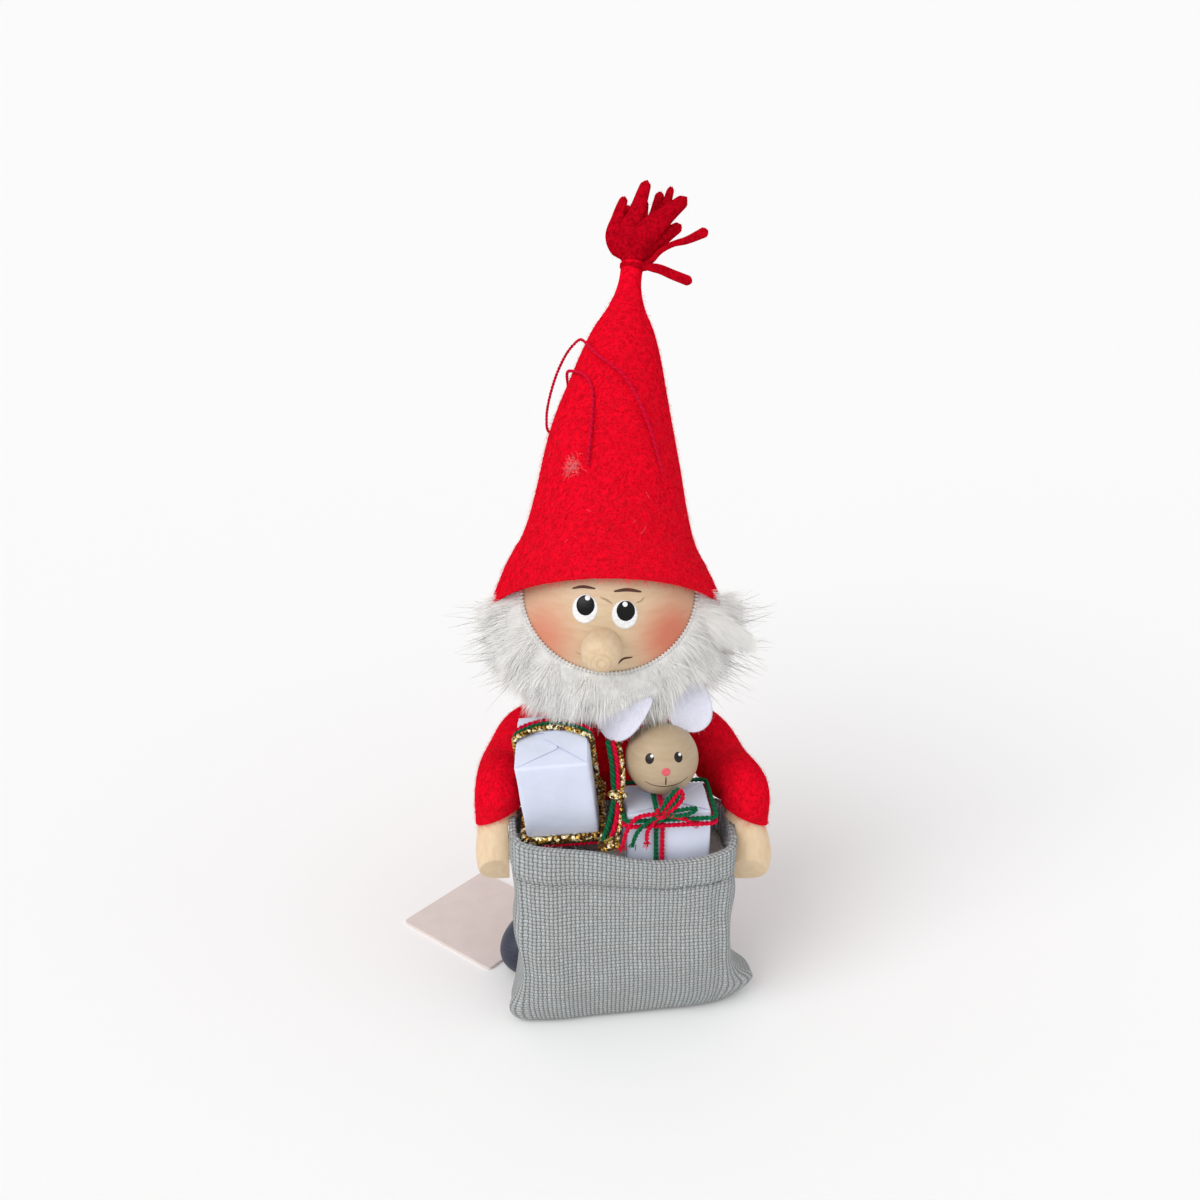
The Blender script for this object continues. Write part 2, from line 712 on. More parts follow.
def loose_hairs(name, finish, roots, normals, length, width, seed, stand):
    """Makes a piece of curled hairs on cloth.

    Each runs along the cloth by t, sideways by t squared, and off it by stand (t - 0.8 t squared).
    """
    rng = np.random.default_rng(seed)
    count = len(roots)
    lie = unit(np.cross(normals, rng.normal(size=(count, 3))))
    curl = np.cross(normals, lie) * rng.uniform(-0.9, 0.9, (count, 1))
    lift = normals * stand * rng.uniform(0.2, 1, (count, 1))
    lift = lift * np.where(rng.uniform(0, 1, (count, 1)) < 0.06, 2.5, 1.0)
    reach = (length * rng.uniform(0.45, 1.3, count))[:, None, None]
    t = np.linspace(0, 1, 4)[None, :, None]
    rise = t - 0.8 * t**2
    lines = roots[:, None] + reach * (lie[:, None] * t + curl[:, None] * t**2 + lift[:, None] * rise)
    half = (width / 2) * (1 - 0.6 * np.linspace(0, 1, 4))[None, :] * np.ones((count, 1))
    across = unit(np.cross(normals, lie) + rng.normal(size=(count, 3)) * 0.1)
    hairs = Shape().add_hairs(lines, half, across, rng.uniform(0, 1, count))
    make_piece(name, hairs, [finish], weld=False)


class FIGURINE_OT_hanging_loop(bpy.types.Operator):
    """Makes the limp cord that is stitched to the hat at both ends and lies over its left side."""
    bl_idname = "figurine.hanging_loop"
    bl_label = "Hanging loop"

    def execute(self, context):
        route = np.array([  # turn from the front in degrees, height up the hat, distance off the felt
            (-17.5, 33, 0), (-18, 42, 0.3), (-23, 52, 0.3), (-36, 56.5, 0.3), (-62, 58.5, 0.3),
            (-90, 59, 0.4), (-116, 56, 0.4), (-128, 50, 0.4), (-120, 45, 0.4), (-104, 44.5, 0.7),
            (-94, 48, 1.6), (-90, 53, 2.4), (-90, 59, 3), (-90, 64.5, 2.8), (-80, 67.5, 1.4),
            (-62, 66.5, 0.3), (-30, 62.5, 0.3), (9, 56, 0.3), (30, 45, 0.3), (41, 33, 0),
        ])
        diameter = millimetres("loop_diameter")
        points = hat_point(np.radians(route[:, 0]), route[:, 1], route[:, 2] + diameter / 2 + 0.3)
        path = spline(points, 420)
        shape = Shape()
        add_yarn(shape, path, diameter, 2, 0.55, HAT_TURN[:, 2] + np.array([0.3, -0.2, 0.1]))
        piece = make_piece("hanging_cord", shape, [red_yarn()], ["hanging_loop"])
        diameter * 0.001
        return {"FINISHED"}


def add_yarn(shape, path, diameter, plies, twist, reference, closed=False, finish=0):
    """Adds plies laid round a path as helices, each a thin round tube.

    twist is in turns per millimetre; on a closed path it is rounded to whole turns. Four plies
    make a braid, two of them wound each way.
    """
    length = run_length(path)
    turns = length[-1] * twist
    turns = round(turns) if closed else turns
    _, side, up = across_path(path, reference, closed)
    ply = diameter / 2 * (0.54 if plies == 2 else 0.5)
    tones = np.linspace(0.15, 0.85, plies)
    sides = 6
    angle = length / length[-1] * turns * TAU
    for i in range(plies):
        a = ((angle if plies < 4 or i % 2 else -angle) + i / plies * TAU)[:, None]
        centre = path + (np.cos(a) * side + np.sin(a) * up) * (diameter / 2 - ply)
        tube = sweep(centre, ply, sides, reference, closed)
        flat = np.stack(np.meshgrid(np.linspace(0, 1, sides + 1), length / diameter), -1)
        shape.add(tube, flat, tones[i], finish)
        if not closed:
            for end, ring in ((centre[0], tube[0]), (centre[-1], tube[-1])):
                shape.add(np.stack([np.broadcast_to(end, ring.shape), ring]), tone=tones[i], finish=finish)


class FIGURINE_OT_hat(bpy.types.Operator):
    """Makes the felt cone with its slanted brim, its loose hairs, the tassel and the tie."""
    bl_idname = "figurine.hat"
    bl_label = "Hat"

    def execute(self, context):
        self.cone()
        self.fuzz()
        self.tassel()
        self.tie()
        return {"FINISHED"}

    def waver(self, spots, height, low):
        """How far the cloth swells or sinks at each spot, fading out at the brim and at the tip."""
        fading = np.clip((height - low) / 8, 0, 1) * fade(height, FUZZ_TOP, FUZZ_TOP - 20)
        return ripple(spots, 26, 3) * 0.35 * fading

    def cone(self):
        """The outline carried round the axis, from inside the brim, over its edge and up to the tip."""
        turn = np.linspace(0, TAU, 145)
        start = brim_heights(turn)
        share = np.concatenate([np.linspace(0, 0.06, 5), np.linspace(0.07, 1, 95)])
        height = start[None] + (HAT_HEIGHT - start[None]) * share[:, None]
        spin = np.broadcast_to(turn, height.shape)
        outside = hat_point(spin, height, self.waver(hat_point(spin, height), height, start))
        inner = start[None] + np.linspace(14, 0.25, 8)[:, None]
        inside = hat_point(np.broadcast_to(turn, inner.shape), inner, -FELT)
        edge = hat_point(turn, start - 0.25, -FELT / 2)[None]
        top = hat_point(np.zeros(1), np.array([TASSEL_FOOT]), -HAT_TIP)
        top = np.broadcast_to(top, (1, len(turn), 3))
        shape = Shape().add(capped(np.vstack([inside, edge, outside, top])))
        hat = make_piece("felt_hat", shape, [red_felt()], ["hat", "hat_wadding"])

    def fuzz(self):
        """Loose hairs all over, closest together low down and along the brim."""
        rng = np.random.default_rng(11)
        count, at_brim = 26000, 1500
        spin = rng.uniform(0, TAU, count)
        low = brim_heights(spin)
        rise = low + (FUZZ_TOP - low) * (1 - np.sqrt(rng.uniform(0, 1, count)))
        rise[:at_brim] = low[:at_brim] + rng.uniform(-0.1, 0.6, at_brim)
        roots = hat_point(spin, rise, self.waver(hat_point(spin, rise), rise, low) - 0.05)
        normals = unit(hat_point(spin, rise + 0.5, 1.0) - hat_point(spin, rise))
        length = millimetres("fuzz_length")
        loose_hairs("hat_fuzz", red_fuzz(), roots, normals, length, 0.1, 12, 0.35)

        # A pale worn tuft beside the hanging cord, and a few pale hairs elsewhere.
        tuft, single = 95, 14
        spin = np.radians(np.concatenate([rng.normal(-31, 2.6, tuft), rng.uniform(-70, 70, single)]))
        rise = np.concatenate([rng.normal(32.5, 1.1, tuft), rng.uniform(8, 40, single)])
        roots = hat_point(spin, rise, 0.15)
        normals = unit(hat_point(spin, rise, 1.0) - roots)
        worn = made("worn_fuzz", fuzz_finish, linear((236, 112, 118)), linear((244, 186, 186)))
        loose_hairs("hat_wear", worn, roots, normals, 1.7, 0.075, 13, 0.5)

    def tassel(self):
        """A felt cup above the tie, slit into fingers.

        Each finger is a ribbon along a smooth line through four points, given as shares of the
        tassel's length. It faces away from the cup's axis and narrows towards a blunt tip.
        """
        shape = Shape()
        fingers = TASSEL_LENGTH * np.array([
            [(-0.07, -0.05, 0.02), (-0.27, -0.12, 0.24), (-0.23, -0.14, 0.47), (-0.15, -0.14, 0.73)],
            [(0, -0.07, 0.02), (-0.1, -0.21, 0.24), (0, -0.21, 0.54), (0.1, -0.16, 0.94)],
            [(0.05, 0.07, 0.02), (0.14, 0.14, 0.33), (0.23, 0.15, 0.6), (0.28, 0.12, 0.91)],
            [(0.06, 0.02, 0.02), (0.21, 0.05, 0.33), (0.33, 0.05, 0.6), (0.41, 0.03, 0.95)],
            [(0.07, -0.07, 0.02), (0.14, -0.24, 0.26), (0.35, -0.21, 0.51), (0.59, -0.14, 0.77)],
            [(0.07, 0, 0.02), (0.27, -0.09, 0.21), (0.42, -0.07, 0.35), (0.55, -0.05, 0.46)],
            [(-0.07, 0.07, 0.02), (-0.21, 0.19, 0.28), (-0.19, 0.23, 0.56), (-0.09, 0.21, 0.74)],
            [(0, 0.09, 0.02), (0.05, 0.26, 0.28), (0.07, 0.28, 0.56), (0.09, 0.23, 0.84)],
        ])
        looks = np.radians([-35, -8, 175, 170, 20, 35, 215, 170])
        widths = [2.3, 2.5, 2.1, 1.7, 2.9, 2.4, 2.2, 2.2]
        t = np.linspace(0, 1, 34)
        v = np.linspace(-1, 1, 11)
        blunt = np.sqrt(1 - fade(t, 0.93, 1) ** 2)
        half = np.interp(t, [0, 0.18, 0.4, 0.7, 1], [0.8, 1.35, 1.2, 0.8, 0.56]) * (0.35 + 0.65 * blunt)
        for number, points in enumerate(fingers):
            line = spline(points, len(t))
            along = unit(np.gradient(line, axis=0))
            out = np.array([math.sin(looks[number]), -math.cos(looks[number]), 0.0])
            side = unit(np.cross(along, out))
            face = np.cross(side, along)
            width = half * widths[number]
            curl = -0.55 * width[:, None] * v[None] ** 2 * (1 - 0.75 * t[:, None])
            curl += 0.3 * np.sin(3 * v[None] + 5 * t[:, None] + number) * t[:, None]
            sheet = line[:, None] + side[:, None] * (width[:, None] * v[None])[..., None]
            sheet += face[:, None] * curl[..., None]
            rim = face[:, None] * np.sqrt(1 - v**4)[None, :, None] * 0.62
            shape.add(two_sided(sheet, rim))
        foot = [(0, -0.2), (HAT_TIP, -0.2), (HAT_TIP * 1.1, 1.2), (HAT_TIP * 1.35, 3.4), (2.6, 5.4), (0, 6)]
        shape.add(turned(spline(foot, 30), 32))
        shape.placed(HAT_TURN, HEAD + HAT_TURN @ (UP * TASSEL_FOOT))
        make_piece("tassel_fingers", shape, [deep_felt()], ["hat_tassel"])
        rng = np.random.default_rng(5)
        spots = np.vstack(shape.points)
        roots = spots[rng.integers(0, len(spots), 2200)]
        heart = HEAD + HAT_TURN @ [2, 0, TASSEL_FOOT + 6]
        normals = unit(roots - heart + rng.normal(size=roots.shape) * 3)
        loose_hairs("tassel_fuzz", red_fuzz(), roots, normals, 1.2, 0.06, 6, 0.4)

    def tie(self):
        """A narrow strip wound tight round the tip, with two tails that leave it on the right."""
        shape = Shape()
        angle = np.linspace(0, 1.9 * TAU, 120)
        radius = HAT_TIP + 0.15
        coil = [np.sin(angle) * radius, -np.cos(angle) * radius, TIE_LEVEL - 0.3 + angle / TAU * 0.4]
        add_strip(shape, np.stack(coil, 1), 0.55, [0.9])
        upper = [(2.8, -1.4, 0.2), (5, -2.4, 1.6), (7, -2.4, 4.1), (10.1, -2.2, 6.2), (13.8, -2, 7.6),
                 (19, -2, 10.5)]
        lower = [(2.8, -1.6, 0), (5, -2.8, -0.5), (7.3, -3, -0.9), (10.7, -3, -2.1), (15.7, -3, -3.7)]
        for tail, wide in ((upper, [1.4, 1.4, 1.5, 2.2, 3.0]), (lower, [1.6, 2.4, 2.6, 2.7, 2.7])):
            add_strip(shape, spline(np.array(tail) + UP * TIE_LEVEL, 60), 1.2, wide)
        knot = turned(spline([(0, -1.1), (0.9, -0.9), (1.2, 0), (0.9, 0.9), (0, 1.1)], 20), 20)
        shape.add(knot + [3.1, -1.4, TIE_LEVEL])
        make_piece("felt_tie", shape.placed(HAT_TURN, HEAD), [deep_felt()], ["hat_tie"])


def add_strip(shape, path, thick, widths):
    """Adds a felt strip: a rounded oblong of its own width at each point of a path, its ends rounded off.

    The widths are spaced evenly along it.
    """
    _, side, up = across_path(path, UP, False)
    wide = np.interp(np.linspace(0, 1, len(path)), np.linspace(0, 1, len(widths)), widths)
    angle = np.linspace(0, TAU, 17)
    a = (squared(np.cos(angle), 0.6) * thick / 2)[None, :, None] * side[:, None]
    b = (squared(np.sin(angle), 0.6) / 2)[None, :, None] * (up * wide[:, None])[:, None]
    near_end = run_length(path)
    near_end = np.minimum(near_end, near_end[-1] - near_end)
    size = np.sqrt(np.clip(near_end / (wide * 0.4), 0, 1))[:, None, None]
    shape.add(path[:, None] + (a + b) * size)


# Head, nose and face paint

def ball(centre, radius, rows=60, columns=96):
    """A sphere as a turned half circle."""
    angle = np.linspace(-math.pi / 2, math.pi / 2, rows)
    return turned(np.stack([np.cos(angle) * radius, np.sin(angle) * radius], 1), columns) + centre


def ball_frame(lift, turn):
    """The outward direction on a ball and the directions to the right and up across it."""
    out = outward(lift, turn)
    right = unit(np.cross(out, UP))
    return out, right, np.cross(right, out)


def add_dot(shape, centre, radius, lift, turn, width, height, proud, finish):
    """Adds a painted dot: an ellipse laid on a ball, slightly domed and closed down to the wood."""
    out, right, up = ball_frame(lift, turn)
    rho = np.array([0, 0.3, 0.6, 0.85, 1.0, 1.0, 0])
    rise = np.array([1, 0.97, 0.9, 0.75, 0.4, -1.0, -1.0]) * proud
    angle = np.linspace(0, TAU, 41)
    x = rho[:, None] * np.cos(angle)[None] * width / 2
    y = rho[:, None] * np.sin(angle)[None] * height / 2
    aim = unit(out * radius + x[..., None] * right + y[..., None] * up)
    shape.add(centre + aim * (radius + rise[:, None, None]), finish=finish)


def add_stroke(shape, centre, radius, spots, width, proud, finish, taper):
    """Adds a painted stroke: a smooth line on a ball, widest in the middle and tapering to its ends."""
    line = unit(spline(unit(outward(*np.array(spots, float).T)), 40))
    along = unit(np.gradient(line, axis=0))
    across = np.cross(line, along)
    t = np.linspace(0, 1, 40)
    half = width / 2 * (1 - taper + taper * np.sin(t * math.pi) ** 0.7)
    v = np.array([-1, -1, -0.5, 0, 0.5, 1, 1, -1])
    rise = np.array([-1, 0.3, 0.9, 1, 0.9, 0.3, -1, -1]) * proud
    points = unit(line[:, None] * radius + across[:, None] * (half[:, None] * v[None])[..., None])
    shape.add(centre + capped(points * (radius + rise[None, :, None])), finish=finish)


def eye_white():
    return made("eye_white", paint, linear((240, 240, 240)), 0.3)


class FIGURINE_OT_head(bpy.types.Operator):
    """Makes the wooden head with blushed cheeks, the nose peg and the painted face."""
    bl_idname = "figurine.head"
    bl_label = "Head and face"

    def execute(self, context):
        cheeks = [(in_part(HEAD + outward(lift, turn) * HEAD_RADIUS), 0.0145, strength)
                  for lift, turn, strength in ((-1.0, -41, 0.7), (0.5, 38, 0.85))]
        wood = made("head_wood", varnished_wood, (0.9, 0.9, 4.0), 0.86, blush=cheeks)
        make_piece("head_ball", Shape().add(ball(HEAD, HEAD_RADIUS)), [wood], ["head"])

        out, right, up = ball_frame(1.5, -3.9)
        outline = [(0, -0.4), (3.7, -0.4), (4.4, 0.9), (4.85, 2.8), (4.9, 4.9), (4.4, 7.2), (3.2, 8.7),
                   (1.7, 9.3), (0, 9.4)]
        knob = turned(spline(outline, 60), 72) @ np.stack([right, -up, out])
        heart = in_part(HEAD + out * (HEAD_RADIUS + 9.2) + [0.3, 0, -1.2])
        grain = made("nose_wood", varnished_wood, (3.0, 0.8, 3.0), 0.9, heart)
        nose = Shape().add(knob + HEAD + out * HEAD_RADIUS)
        make_piece("nose_knob", nose, [grain], ["nose"])
        self.face()
        return {"FINISHED"}

    def face(self):
        """Eyes with pupils and glints, then brows, mouth, cheek mark and frown lines as strokes."""
        white, black, brown, faint = range(4)
        finishes = [
            eye_white(),
            made("eye_black", paint, linear((14, 14, 16)), 0.2),
            made("brow_brown", paint, linear((88, 60, 50)), 0.5),
            made("pencil_grey", paint, linear((178, 150, 122)), 0.6),
        ]
        width = millimetres("eye_diameter")
        shape = Shape()
        eyes = ((20.7, -14.8), (22.6, -14.6), (26.9, -13.7)), ((17.9, 9.0), (19.9, 9.6), (23.7, 9.4))
        for eye, pupil, glint in eyes:
            add_dot(shape, HEAD, HEAD_RADIUS, *eye, width, width * 1.12, 0.10, white)
            add_dot(shape, HEAD, HEAD_RADIUS, *pupil, 4.6, 5.0, 0.19, black)
            add_dot(shape, HEAD, HEAD_RADIUS, *glint, 1.35, 1.35, 0.28, white)
        strokes = [
            ([(31.0, -24.8), (32.8, -17.8), (32.4, -9.3)], 0.75, brown),
            ([(31.1, 2.8), (31.6, 11.6), (29.6, 20.8)], 0.85, brown),
            ([(-11.6, 4.9), (-8.4, 8.0), (-7.8, 13.2)], 0.6, brown),
            ([(-5.3, -19.4), (-6.4, -16.4)], 0.3, faint),
            ([(27.8, -6.0), (26.4, -2.0), (24.2, 1.8)], 0.55, faint),
            ([(23.9, 16.2), (24.6, 19.6), (26.4, 22.0)], 0.35, faint),
        ]
        for spots, width, finish in strokes:
            add_stroke(shape, HEAD, HEAD_RADIUS, spots, width, 0.06, finish, 0.65)
        make_piece("painted_face", shape, finishes)


# Beard, and the place of the rabbit's ears, which its hairs keep clear of

RABBIT = np.array([13.4, -21.0, 74.6])
RABBIT_RADIUS = 9.3
VIEW_UP, VIEW_AWAY = np.array([0, 0.4067, 0.9135]), np.array([0, 0.9135, -0.4067])


def seen_at(right, up, near):
    """A step from the rabbit's middle: to the right, up the camera's view and towards it."""
    return RABBIT + RIGHT * right + VIEW_UP * up - VIEW_AWAY * near


EARS = (  # name, blunt end, pointed end, width
    ("left", seen_at(-15.2, 7.4, 1.5), seen_at(-2.8, 15.8, 9.2), 10.8),
    ("right", seen_at(6.3, 7.2, 0.8), seen_at(8.6, 21.2, 2.0), 11.6),
)
FACE_OUT = outward(41.5, 0.0)
FACE_DOWN = np.cross(RIGHT, FACE_OUT)
BEARD_EDGE, BEARD_SPAN = math.radians(60), math.radians(43)
BEARD_REACH = (math.radians(1.5), math.radians(178.5))


def beard_point(angle, round_face, radius):
    """A point at an angle from the face's axis, a turn round it (0 right, a quarter down) and a radius."""
    across = np.cos(round_face)[..., None] * RIGHT + np.sin(round_face)[..., None] * FACE_DOWN
    aim = np.cos(angle)[..., None] * FACE_OUT + np.sin(angle)[..., None] * across
    return HEAD + aim * radius[..., None], aim


def beard_depth(share):
    """How far the backing stands off the ball, as the fur's roots do, against the share from edge to end."""
    return np.interp(share, [0, 0.14, 0.34, 0.56, 0.76, 0.92, 1], [0.6, 2.2, 3.8, 4.2, 3.2, 1.6, 0.3])


class FIGURINE_OT_beard(bpy.types.Operator):
    """Makes the beard: a fur strip round the lower face with a pinked edge, pile and long guard hairs."""
    bl_idname = "figurine.beard"
    bl_label = "Beard"

    def execute(self, context):
        share = np.linspace(0, 1, 40)
        spin = np.linspace(*BEARD_REACH, 140)
        s, w = np.meshgrid(share, spin, indexing="ij")
        radius = HEAD_RADIUS + 0.25 + beard_depth(s)
        angle = BEARD_EDGE + BEARD_SPAN * s
        outer, _ = beard_point(angle, w, radius)
        outer, _ = beard_point(angle, w, radius + ripple(outer, 7, 8) * 0.35 * np.clip(s * 6, 0, 1))
        inner, _ = beard_point(angle[::-1], w, np.full_like(s, HEAD_RADIUS + 0.1))
        rings = np.concatenate([outer, inner, outer[:1]]).swapaxes(0, 1)
        backing = made("fur_backing", self.backing_finish, chosen("fur"))
        strip = Shape().add(capped(rings).swapaxes(0, 1))
        make_piece("beard_backing", strip, [backing], ["beard"])

        # The pinked edge of the backing: a bead that swells and shrinks along the inner rim.
        spin = np.linspace(*BEARD_REACH, 561)
        rim, height = np.full(len(spin), BEARD_EDGE - 0.01), np.full(len(spin), HEAD_RADIUS + 0.35)
        path, aim = beard_point(rim, spin, height)
        bead = 0.42 + 0.2 * np.sin(np.linspace(0, 70 * TAU, len(spin)))
        make_piece("beard_edge", Shape().add(capped(sweep(path, bead, 8, aim))), [backing])
        fur = made("fur_hairs", self.fur_finish, chosen("fur"))
        rng = np.random.default_rng(21)
        self.pile(fur, rng)
        self.guard_hairs(rng)
        self.tab(fur, rng)
        return {"FINISHED"}

    def backing_finish(self, name, colour):
        """Matted fur seen between the hairs, in cloudy locks."""
        finish = Finish(name, colour, 0.95, sheen_weight=0.3)
        lock = finish.noise(finish.place(), 420.0, 3.0)
        tone = finish.mix(lock.between(0.35, 0.7), shade(colour, 0.66), shade(colour, 0.78))
        finish.set("Base Color", tone)
        finish.bump(lock, 0.0008, 0.8)
        return finish.material

    def fur_finish(self, name, colour):
        """White hairs, darker at the root than at the tip."""
        finish = Finish(name, colour, 0.7, specular_ior_level=0.2)
        _, rise = finish.flat()
        own = finish.mix(finish.tone(), shade(colour, 0.85), colour)
        finish.set("Base Color", finish.mix(rise.between(0.0, 0.5), shade(colour, 0.82), own))
        return finish.material

    def rooted(self, share, spin, radius):
        """Where hairs are rooted, the direction out from the head and the one away from the face."""
        angle = BEARD_EDGE + BEARD_SPAN * share
        roots, aim = beard_point(angle, spin, radius)
        ahead, _ = beard_point(angle + 0.05, spin, radius)
        return roots, aim, unit(ahead - roots)

    def pile(self, fur, rng):
        """Two layers rooted all over the backing, combed away from the face and drooping, in shared locks."""
        for layer, (long, stray) in enumerate(((0.85, 0.12), (1.0, 0.22)), 1):
            count = bpy.context.scene.figurine_sizes.fur_hairs
            share = rng.uniform(0, 1, count) ** 1.3
            spin = rng.uniform(*BEARD_REACH, count)
            radius = HEAD_RADIUS + 0.2 + beard_depth(share) * 0.92
            roots, aim, comb = self.rooted(share, spin, radius)
            lock = np.stack([ripple(roots, 6, seed) for seed in (31, 32, 33)], 1)
            beside = np.cos(spin)[:, None] ** 2
            start = aim * (0.2 + 0.55 * share[:, None] + 0.5 * beside) + comb * 0.9 + lock * 0.3
            start = unit(start + rng.normal(size=roots.shape) * stray)
            length = millimetres("fur_length") * long * rng.uniform(0.6, 1.12, count)
            length *= np.interp(share, [0, 0.1, 0.5, 1], [0.7, 0.9, 1, 0.95])
            length *= 1 + np.where(spin > 1.6, 0.25, 0.4) * beside[:, 0]
            length = self.trimmed(roots, start, length)
            bend = comb * 0.25 + lock * 0.2 - UP * np.interp(share, [0, 1], [0.1, 0.3])[:, None]
            self.strands(f"beard_pile_{layer}", roots, start, aim, length, bend, 0.13, fur, rng)

    def guard_hairs(self, rng):
        """Long single hairs, nearly all of them at the outline of the two cheeks."""
        count = 330
        right = rng.uniform(0, 1, count) < 0.5
        spin = np.where(right, rng.uniform(0.02, 0.75, count), rng.uniform(2.4, 3.12, count))
        share = rng.uniform(0.45, 0.98, count)
        radius = HEAD_RADIUS + 0.5 + beard_depth(share) * 0.8
        roots, aim, comb = self.rooted(share, spin, radius)
        side = np.where(right, 1.0, -1.0)[:, None] * RIGHT
        start = unit(aim * 0.5 + side * 0.6 + comb * 0.5 + rng.normal(size=roots.shape) * 0.3)
        length = millimetres("guard_length") * rng.uniform(0.7, 1.25, count) * np.where(right, 1, 0.75)
        length = self.trimmed(roots, start, length)
        guard = made("guard_hairs", fuzz_finish, linear((176, 174, 168)), linear((132, 130, 126)))
        bend = rng.normal(size=roots.shape) * 0.12
        self.strands("beard_guard", roots, start, aim, length, bend, 0.17, guard, rng)

    def tab(self, fur, rng):
        """The strip's loose right end, a tongue of pile that stands out beside the hat."""
        count = 3000
        along, over = rng.uniform(0, 1, count), rng.uniform(-1, 1, count)
        base, tip = np.array([23.0, -12.5, 109.5]), np.array([32.5, -13.0, 105.5])
        roots = base + (tip - base) * along[:, None]
        roots += np.array([0.1, 0.2, 1.0]) * (over * 3.4 * (1 - 0.5 * along))[:, None]
        roots += np.array([0.2, -1.0, 0.1]) * (1.6 * (1 - over**2))[:, None]
        start = unit(unit(tip - base) + np.array([0.15, -0.35, 0.0]) + rng.normal(size=roots.shape) * 0.16)
        length = 5.2 * rng.uniform(0.6, 1.15, count)
        out = np.broadcast_to([0.2, -1.0, 0.3], roots.shape)
        self.strands("beard_tab", roots, start, out, length, -0.25 * UP, 0.14, fur, rng)

    def trimmed(self, roots, start, length):
        """Hair lengths cut short where their tips come within reach of the rabbit's ears."""
        tips = roots + start * length[:, None]
        for _, root, tip, _ in EARS:
            along = tip - root
            share = np.clip((tips - root) @ along / (along @ along), 0, 1)
            near = np.linalg.norm(tips - root - share[:, None] * along, axis=1)
            length = length * np.interp(near, [3.5, 6.5], [0.3, 1.0])
        return length

    def strands(self, name, roots, start, out, length, bend, width, fur, rng):
        """Hairs along root + start t + bend t squared, times the length, tapering to the tip.

        Each is a ribbon whose flat side looks outwards from the beard, give or take a little.
        """
        t = np.linspace(0, 1, 5)
        bend = np.broadcast_to(bend, roots.shape)
        curve = start[:, None] * t[None, :, None] + bend[:, None] * (t**2)[None, :, None]
        lines = roots[:, None] + length[:, None, None] * curve
        half = width / 2 * (1 - 0.82 * t**1.3)[None] * rng.uniform(0.7, 1.2, (len(roots), 1))
        across = unit(np.cross(start, out) + rng.normal(size=roots.shape) * 0.25)
        hairs = Shape().add_hairs(lines, half, across, rng.uniform(0, 1, len(roots)))
        make_piece(name, hairs, [fur], weld=False)


# Coat, sleeves, hands, legs and boots

SACK_TURN = 5.0
SACK_ACROSS = np.array([math.cos(math.radians(SACK_TURN)), math.sin(math.radians(SACK_TURN)), 0.0])
SACK_MIDDLE = np.array([3.4, -22.15, 0.0])
SACK_HEIGHT = 54.4
HAND_FLAT = 29.3
HAND_ALONG = outward(14 - 90, 0.0)
HAND_CUT = outward(62 - 90, 0.0)
HAND_CUT_REACH = 9.7
CUFF_SLANT = 2.6
SLEEVE_ROWS, SLEEVE_SIDES, CUFF_ROWS = 90, 48, 30


def wrist(side):
    """The middle of a cuff; side is -1 for the left and 1 for the right."""
    return np.array([SACK_MIDDLE[0] + side * (HAND_FLAT + 3.0) * SACK_ACROSS[0], -17.0, 52.5])


def beside_sack(points, side, reach):
    """Points that would enter the sack's side wall below its rim are moved out to a reach from its middle."""
    depth = reach - ((points - SACK_MIDDLE) @ SACK_ACROSS) * side
    low = points[..., 2] < SACK_HEIGHT + 0.2
    return points + SACK_ACROSS * side * (np.clip(depth, 0, None) * low)[..., None]


